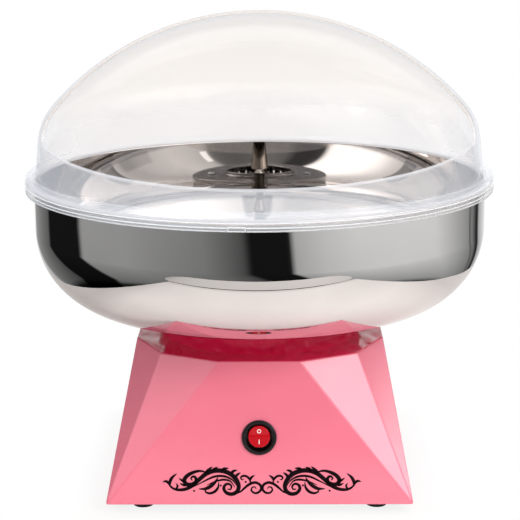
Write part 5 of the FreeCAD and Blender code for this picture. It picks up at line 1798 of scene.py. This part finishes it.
@dataclass
class Ornament:
    """Printed scrollwork on the front face: strokes that swell and taper, the same on both sides."""

    level: float = 0.0160
    proud: float = 0.00002
    thickness: float = 0.00008
    unit: float = 0.001
    offset: float = 0.0016
    weight: float = 1.22
    dot: float = 0.7
    dot_steps: int = 20
    dots: tuple[Point, ...] = ((44.6, -6.9), (27.0, -3.4), (10.6, -1.0))
    strokes: tuple[Stroke, ...] = (
        # long stem that rolls into the large scroll
        Stroke(((62.0, -0.6), (60.6, -3.2), (58.0, -5.4), (54.6, -6.2), (50.0, -5.6), (45.4, -3.2), (40.8, 1.0),
                (36.6, 4.4), (31.4, 6.4), (25.6, 6.3), (20.4, 4.2), (16.8, 0.6), (15.2, -3.6), (16.2, -7.2),
                (19.4, -9.0), (23.0, -8.3), (25.0, -5.6), (24.1, -3.0), (21.7, -2.3), (20.0, -3.9), (20.7, -5.9),
                (22.6, -5.7)), 2.5, 0.42, 0.24),
        # link to the small scroll at the middle
        Stroke(((18.8, -9.0), (14.6, -7.8), (11.5, -5.2), (8.4, -2.7), (4.7, -1.4), (1.4, -2.7), (0.4, -5.3),
                (1.9, -7.7), (4.6, -8.4), (6.8, -6.8), (6.4, -4.8), (4.6, -4.3), (3.7, -5.6)), 1.5, 0.30, 0.32),
        # curl over the link, and its leaf
        Stroke(((7.4, -3.0), (7.8, 0.3), (9.8, 2.6), (12.3, 3.0), (13.8, 1.8), (12.8, 0.4), (11.7, 1.1)), 1.3, 0.3),
        Stroke(((8.0, -0.4), (6.8, 2.0), (4.6, 3.4)), 1.4, 0.4, 0.1),
        # inner lines along the stem
        Stroke(((46.0, -4.8), (38.2, -0.6), (31.0, 2.6), (24.4, 2.7), (19.2, 0.2), (16.6, -3.6)), 1.3, 0.5),
        Stroke(((36.4, -3.2), (30.4, -0.6), (25.0, 0.5), (20.6, -0.6), (17.6, -4.8)), 1.2, 0.5),
        # back curl
        Stroke(((34.6, 4.6), (40.0, 6.3), (45.0, 5.4), (49.2, 3.0), (51.0, 0.0), (49.2, -2.5), (46.0, -2.5),
                (43.5, -0.9), (43.4, 1.5), (45.0, 2.7), (46.6, 1.4), (45.6, 0.0)), 2.3, 0.36, 0.22),
        # thorns of the back curl and the tail
        Stroke(((49.8, -0.4), (52.0, -0.1), (54.6, 1.6)), 1.6, 0.3, 0.08),
        Stroke(((49.0, -2.8), (51.4, -3.0), (54.0, -1.8)), 1.5, 0.3, 0.08),
        Stroke(((60.2, -3.8), (60.4, -0.8), (58.8, 2.2), (55.8, 4.6)), 1.8, 0.45, 0.08),
        Stroke(((60.8, -2.4), (62.8, -0.5), (65.4, -1.0)), 1.5, 0.35, 0.08),
        Stroke(((56.6, -5.8), (55.4, -3.6), (56.6, -1.8)), 1.2, 0.35, 0.08),
        # leaf and hook under the stem
        Stroke(((41.6, -5.6), (36.8, -5.4), (32.8, -3.2), (30.2, -0.4), (28.8, 2.2)), 2.0, 0.4, 0.1),
        Stroke(((28.3, -1.0), (28.8, -4.7), (31.2, -7.5), (34.6, -8.5), (37.3, -7.2), (36.2, -5.7)), 1.5, 0.35),
        # leaves on the stem's back
        Stroke(((37.0, 4.4), (35.2, 6.8), (32.4, 9.2)), 1.9, 0.35, 0.08),
        Stroke(((32.4, 5.8), (31.2, 7.6), (28.8, 8.8)), 1.7, 0.35, 0.08),
        Stroke(((26.6, 6.2), (24.6, 7.8), (21.6, 8.0)), 1.7, 0.35, 0.08),
        Stroke(((20.6, 4.2), (18.6, 6.2), (16.0, 6.8)), 1.6, 0.35, 0.08),
        Stroke(((17.6, 1.6), (16.0, 3.9), (13.9, 5.2)), 1.5, 0.35, 0.08),
    )

    def printed(self, stroke: Stroke, side: int) -> bpy.types.Mesh:
        """Mesh of a stroke.

        Args:
            stroke: the stroke.
            side: 1 for the right half or -1 for the left one.

        Returns:
            The mesh, round the origin.
        """
        path = flowing([(side * across * self.unit, up * self.unit) for across, up in stroke.run])
        widths = [self.unit * self.weight * width for width in stroke.widths(len(path))]
        return Forms.bake(TreeKind.PRINTED, line_mesh(path, widths), Thickness=self.thickness,
                          Finish=Finishes.INK.material())

    def build(self) -> None:
        """Make the scrollwork."""
        meshes = [self.printed(stroke, side) for stroke in self.strokes for side in (1, -1)]
        spots = [(side * across * self.unit, up * self.unit) for across, up in self.dots for side in (1, -1)]
        disc = prism_mesh(circle(self.dot * self.unit, self.dot_steps), -self.thickness / 2, self.thickness / 2)
        meshes.append(copies(disc, [(*spot, 0.0) for spot in spots], Finishes.INK))
        place = Matrix.Translation((self.offset, 0, 0)) @ Housing().face(self.level, self.proud)
        piece("scrollwork", moved(joined(*meshes), place), Finishes.INK, Body.BASE, "switch_black")


def flowing(points: Sequence[Point], steps: int = 8) -> list[Point]:
    """Smooth run through points.

    Args:
        points: the places that it passes.
        steps: how many chords lie between two of them.

    Returns:
        The run's points.
    """
    padded = [points[0], *points, points[-1]]
    run = []
    for a, b, c, d in zip(padded, padded[1:], padded[2:], padded[3:]):
        for step in range(steps):
            t = step / steps
            run.append(tuple(0.5 * (2 * q + (r - p) * t + (2 * p - 5 * q + 4 * r - s) * t * t
                                    + (3 * q - p - 3 * r + s) * t ** 3) for p, q, r, s in zip(a, b, c, d)))
    return [*run, points[-1]]


@dataclass(frozen=True)
class Panel:
    """Soft-edged rectangle of light or shade in the surroundings, by its angles seen from the machine."""

    azimuth: float
    elevation: float
    half_width: float
    half_height: float
    level: float
    corner: float = 4.0
    soft: float = 2.0

    def light(self, graph: Graph, azimuth: bpy.types.NodeSocket, elevation: bpy.types.NodeSocket) -> Any:
        """Level that the panel gives towards a direction.

        Args:
            graph: the world's nodes.
            azimuth: the direction's angle about Z.
            elevation: its angle over the horizon.

        Returns:
            The level.
        """
        outside = []
        for angle, middle, half in ((azimuth, self.azimuth, self.half_width),
                                    (elevation, self.elevation, self.half_height)):
            off = graph.maths("ABSOLUTE", graph.maths("SUBTRACT", angle, middle))
            outside.append(graph.maths("MAXIMUM", graph.maths("SUBTRACT", off, half - self.corner), 0.0))
        return graph.span(graph.length(*outside), (self.corner - self.soft, self.corner), (self.level, 0.0),
                          smooth=True)


@dataclass(frozen=True)
class Lamp:
    """Soft disc lamp that points at the machine, and the pieces that it lights, or none for all."""

    name: str
    place: tuple[float, float, float]
    size: float
    power: float
    colour: tuple[float, float, float] = (1.0, 1.0, 1.0)
    only: tuple[str, ...] = ()
    aim: tuple[float, float, float] = (0.0, 0.0, 0.12)

    def add(self) -> None:
        """Add the lamp to the scene."""
        data = bpy.data.lights.new(self.name, "AREA")
        data.shape, data.size, data.energy, data.color = "DISK", self.size, self.power, self.colour
        made = bpy.data.objects.new(self.name, data)
        turn = (Vector(self.aim) - Vector(self.place)).to_track_quat("-Z", "Y")
        made.matrix_world = Matrix.Translation(self.place) @ turn.to_matrix().to_4x4()
        made.visible_glossy = False
        bpy.context.scene.collection.objects.link(made)
        if self.only:
            lit = bpy.data.collections.new(self.name)
            for thing in self.only:
                lit.objects.link(bpy.data.objects[thing])
            made.light_linking.receiver_collection = lit


CLEAR_PIECES = ("hood", "mouth_bead", "moulded_mark", "skirt_ribs")


@dataclass
class Studio:
    """Table, lights, world and camera."""

    eye: tuple[float, float, float] = (0.0146, -1.0707, 0.4008)
    pitch: float = 76.75
    roll: float = -0.378
    yaw: float = 0.779
    lens: float = 108.75
    sensor: float = 36.0
    clip: Point = (0.01, 100.0)
    paper: Colour = (252, 246, 243)
    shadow_level: float = 0.86
    lip_steps: int = 12
    table: tuple[Point, ...] = ((-0.305, -0.380), (0.345, -0.380), (0.345, 0.10), (0.30, 0.42), (-0.30, 0.42))
    lip_half: float = 0.38
    lip_near: float = -0.388
    lip_far: float = -0.555
    lip_corner: float = 0.08
    base_half: float = 0.1015
    shadow_reach: float = 0.03
    # painted shadows on the table: for each, the share across, the share along, then places along that direction and
    # the level there
    painted_shadows: tuple[tuple[float, float, tuple[Point, ...]], ...] = (
        (1.0, -0.35, ((-0.26, 0.58), (-0.22, 0.67), (-0.17, 0.85), (-0.10, 0.94), (0.0, 1.0))),
        (1.0, 0.5, ((0.0, 1.0), (0.10, 0.93), (0.18, 0.86), (0.25, 0.78), (0.34, 0.63))),
        (0.0, 1.0, ((-0.38, 0.60), (-0.35, 0.80), (-0.27, 0.84), (-0.20, 0.92), (-0.15, 1.0))),
    )
    panels: tuple[Panel, ...] = (
        Panel(0, -3, 60, 3.4, 1.5, 3, 2.5), Panel(63, 34, 16, 16, 2.8, 10, 10), Panel(128, 4, 24, 5, 2.3, 5, 4.5),
        Panel(2, 29, 10, 21, -0.8, 4, 3), Panel(-34, 24, 22, 14, -0.22, 6, 5), Panel(-114, 47, 4.5, 12, 1.2, 1.5, 1.5),
        Panel(-150, 47, 31, 25, -0.2, 2, 3), Panel(143, 47, 40, 25, -0.2, 2, 3),
    )
    room: tuple[Point, ...] = (
        (-180, 0.40), (-150, 0.35), (-132, 0.38), (-123, 0.45), (-112, 1.00), (-90, 1.18), (-75, 1.26), (-60, 1.14),
        (-40, 1.02), (-25, 0.86), (-12, 0.90), (0, 1.30), (14, 1.30), (24, 1.60), (34, 2.10), (45, 2.60), (94, 2.60),
        (100, 2.30), (104, 1.00), (107, 0.25), (132, 0.18), (148, 0.38), (165, 0.44), (180, 0.40),
    )
    room_foot: tuple[float, float] = (8.0, 19.0)
    wall: tuple[Point, ...] = (
        (-180, 0.85), (-163, 0.80), (-160, 0.36), (-133, 0.14), (-131, 0.01), (-102, 0.01), (-99, 0.41), (-70, 0.40),
        (-48, 0.33), (-28, 0.27), (-9, 0.10), (-5, 0.01), (14, 0.01), (17, 0.56), (32, 0.74), (50, 0.86), (75, 0.90),
        (98, 0.86), (118, 0.52), (131, 0.34), (132, 0.12), (135, 0.28), (142, 0.03), (145, 0.03), (148, 0.55),
        (160, 0.80), (180, 0.85),
    )
    wall_fall: tuple[Point, ...] = (
        (-36, 0.0), (-33, 0.05), (-30, 0.45), (-25, 0.6), (-20, 0.72), (-16, 0.82), (-13.2, 0.95), (-12, 1.0),
        (-4, 1.0), (4, 0.0),
    )
    backdrop: tuple[float, float, float] = (0.90, 0.965, 0.78)
    backdrop_fade: Point = (12.0, 22.0)
    wall_span: Point = (-36.0, 4.0)
    slip_span: Point = (-29.0, -12.0)
    slip: float = 20.0
    dusk_span: Point = (-2.0, 6.0)
    dusk: float = 0.22
    sky_span: Point = (-0.05, 0.55)
    sky_levels: Point = (0.25, 0.90)
    sky_tint: tuple[float, float, float, float] = (1.0, 0.985, 0.975, 1.0)
    lamps: tuple[Lamp, ...] = (
        Lamp("key", (1.0, -1.2, 1.0), 0.7, 16.5), Lamp("fill", (-1.2, -1.1, 0.35), 0.8, 3.0),
        Lamp("top", (0.2, 0.0, 1.6), 1.0, 9.0),
    )
    cover_lamps: tuple[Lamp, ...] = (
        Lamp("cover_left", (-1.1, -1.0, 1.0), 0.9, 15.0, (0.79, 0.89, 1.0), CLEAR_PIECES),
        Lamp("cover_top", (0.1, 0.3, 1.7), 1.2, 14.0, (1.0, 0.98, 0.96), CLEAR_PIECES),
    )

    def camera(self) -> None:
        """Add the camera."""
        data = bpy.data.cameras.new("camera")
        data.sensor_width, data.lens = self.sensor, self.lens
        data.clip_start, data.clip_end = self.clip
        made = bpy.data.objects.new("camera", data)
        made.matrix_world = (Matrix.Translation(self.eye) @ Matrix.Rotation(math.radians(self.yaw), 4, "Z")
                             @ Matrix.Rotation(math.radians(self.pitch), 4, "X")
                             @ Matrix.Rotation(math.radians(self.roll), 4, "Z"))
        bpy.context.scene.collection.objects.link(made)
        bpy.context.scene.camera = made

    def painted_shadow_level(self, graph: Graph, parts: Any) -> bpy.types.NodeSocket:
        """Painted shadow of the table: its level falls towards its ends along a few directions, for the machine's own
        shadow.

        Args:
            graph: the material's nodes.
            parts: the place's three parts.

        Returns:
            The level.
        """
        level = 1.0
        for across, along, stops in self.painted_shadows:
            place = graph.plus(graph.times(parts[0], across), graph.times(parts[1], along))
            shade = graph.ramp(graph.plus(place, 0.5), [(spot + 0.5, share) for spot, share in stops])
            level = graph.times(shade, level)
        return level

    def table_material(self) -> bpy.types.Material:
        """Pale paper with painted shadow towards its ends, which fades to white for the eye a little way off the base.

        Returns:
            The material.
        """
        material = bpy.data.materials.new("pale_table")
        material.use_nodes = True
        graph = Graph(material.node_tree)
        parts = graph.parts(graph.add("ShaderNodeTexCoord").outputs["Object"])
        reach = [graph.maths("ABSOLUTE", parts[axis]) for axis in (0, 1)]
        off = [graph.maths("MAXIMUM", graph.maths("SUBTRACT", part, self.base_half), 0.0) for part in reach]
        fade = graph.span(graph.length(*off), (0.0, self.shadow_reach), (self.shadow_level, 1.0), smooth=True)
        path = graph.add("ShaderNodeLightPath").outputs
        share = graph.times(fade, path["Is Camera Ray"])
        # painted shadow: the paper darkens towards its ends
        colour = graph.blend(self.painted_shadow_level(graph, parts), (0.0, 0.0, 0.0, 1.0), linear(self.paper))
        paper = graph.out("ShaderNodeBsdfDiffuse", {"Color": colour})
        white = graph.out("ShaderNodeEmission", {"Color": WHITE, "Strength": 1.0})
        graph.add("ShaderNodeOutputMaterial", {"Surface": graph.layered(share, paper, white)})
        return material

    def floor(self) -> None:
        """Add the table top and its front lip."""
        material = self.table_material()
        lip = rounded([(side * self.lip_half, along, self.lip_corner) for side, along in (
            (-1, self.lip_far), (1, self.lip_far), (1, self.lip_near), (-1, self.lip_near))], self.lip_steps, True)
        for name, corners in (("table_top", self.table), ("table_lip", lip)):
            form = bmesh.new()
            form.faces.new([form.verts.new((across, along, 0.0)) for across, along in corners])
            mesh = plain(form, name)
            mesh.materials.append(material)
            made = linked(name, mesh)

    def round_about(self, graph: Graph, azimuth: bpy.types.NodeSocket, stops: Sequence[Point]) -> Any:
        """Level that changes round about.

        Args:
            graph: the world's nodes.
            azimuth: angle about Z.
            stops: angles and their levels.

        Returns:
            The level.
        """
        turn = graph.maths("DIVIDE", graph.plus(azimuth, 180.0), 360.0)
        most = max(level for _, level in stops)
        ramp = graph.ramp(turn, [((angle + 180) / 360, level / most) for angle, level in stops])
        return graph.times(ramp, most)

    def surroundings(self, graph: Graph) -> bpy.types.NodeSocket:
        """What mirrors see: a low wall of panels with dark gaps, a lit room above it, and a pale backdrop.

        Args:
            graph: the world's nodes.

        Returns:
            The level towards the ray's direction.
        """
        parts = graph.parts(graph.add("ShaderNodeTexCoord").outputs["Generated"])
        ahead = graph.times(parts[1], -1.0)
        azimuth = graph.maths("DEGREES", graph.maths("ARCTAN2", parts[0], ahead))
        elevation = graph.maths("DEGREES", graph.maths("ARCSINE", parts[2]))
        slip = graph.span(elevation, self.slip_span, (self.slip, 0.0))
        around = self.round_about(graph, graph.maths("SUBTRACT", azimuth, slip), self.wall)
        foot, top = self.wall_span
        sunk = graph.ramp(graph.span(elevation, self.wall_span, (0.0, 1.0)),
                          [((angle - foot) / (top - foot), level) for angle, level in self.wall_fall])
        low = graph.times(around, sunk)
        risen = graph.span(elevation, self.room_foot, (0.0, 1.0))
        high = graph.times(self.round_about(graph, azimuth, self.room), risen)
        begin, full, level = self.backdrop
        behind = graph.span(parts[1], (begin, full), (0.0, 1.0))
        below = graph.span(elevation, self.backdrop_fade, (1.0, 0.0))
        backdrop = graph.times(graph.times(behind, below), level)
        dusk = graph.span(elevation, self.dusk_span, (0.0, self.dusk))
        total = graph.maths("MAXIMUM", graph.maths("MAXIMUM", backdrop, dusk), graph.maths("MAXIMUM", high, low))
        for panel in self.panels:
            total = graph.plus(total, panel.light(graph, azimuth, elevation))
        return graph.maths("MAXIMUM", total, 0.0)

    def world(self) -> None:
        """Add the surroundings: white to the eye, panels in mirrors, soft light that comes mostly from above."""
        made = bpy.data.worlds.new("studio")
        made.use_nodes = True
        graph = Graph(made.node_tree)
        mirrored = self.surroundings(graph)
        upward = graph.parts(graph.add("ShaderNodeTexCoord").outputs["Generated"])[2]
        sky = graph.span(upward, self.sky_span, self.sky_levels)
        path = graph.add("ShaderNodeLightPath").outputs
        seen = graph.maths("MAXIMUM", path["Is Camera Ray"], path["Is Transmission Ray"])
        back, glossy, soft = (graph.out("ShaderNodeBackground", {"Color": colour, "Strength": strength})
                              for colour, strength in ((WHITE, 1.0), (mirrored, 1.0), (self.sky_tint, sky)))
        lit = graph.layered(path["Is Glossy Ray"], soft, glossy)
        graph.add("ShaderNodeOutputWorld", {"Surface": graph.layered(seen, lit, back)})
        bpy.context.scene.world = made

    def build(self) -> None:
        """Set the stage."""
        self.camera()
        self.floor()
        self.world()
        for lamp in self.lamps:
            lamp.add()
        bpy.context.scene.view_settings.view_transform = "Standard"

    def light_cover(self) -> None:
        """Add the lamps that only light the haze in the clear cover."""
        for lamp in self.cover_lamps:
            lamp.add()


def dress_solids() -> None:
    """Give every solid of the frame its slot's finish."""
    for part in frame["record"]["subparts"]:
        solid = frame["nodes"][part["node"]]
        finish = SLOTS[part["material_slot"]]
        if not solid.material_slots:
            solid.data.materials.append(finish.material())
        for slot in solid.material_slots:
            slot.link = "OBJECT"
            slot.material = finish.material()
        LOG.info("%s: %s", part["node"], finish.name)


def main() -> None:
    """Set the stage, dress the solids and build the pieces in order."""
    logging.basicConfig(level=logging.INFO, format="%(name)s: %(message)s")
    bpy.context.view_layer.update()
    studio = Studio()
    studio.build()
    dress_solids()
    for assembly in (Housing(), Bowl(), Cover(), Head(), Switch(), Feet(), Fastenings(), Ornament()):
        assembly.build()
    studio.light_cover()


if __name__ == "__main__":
    main()
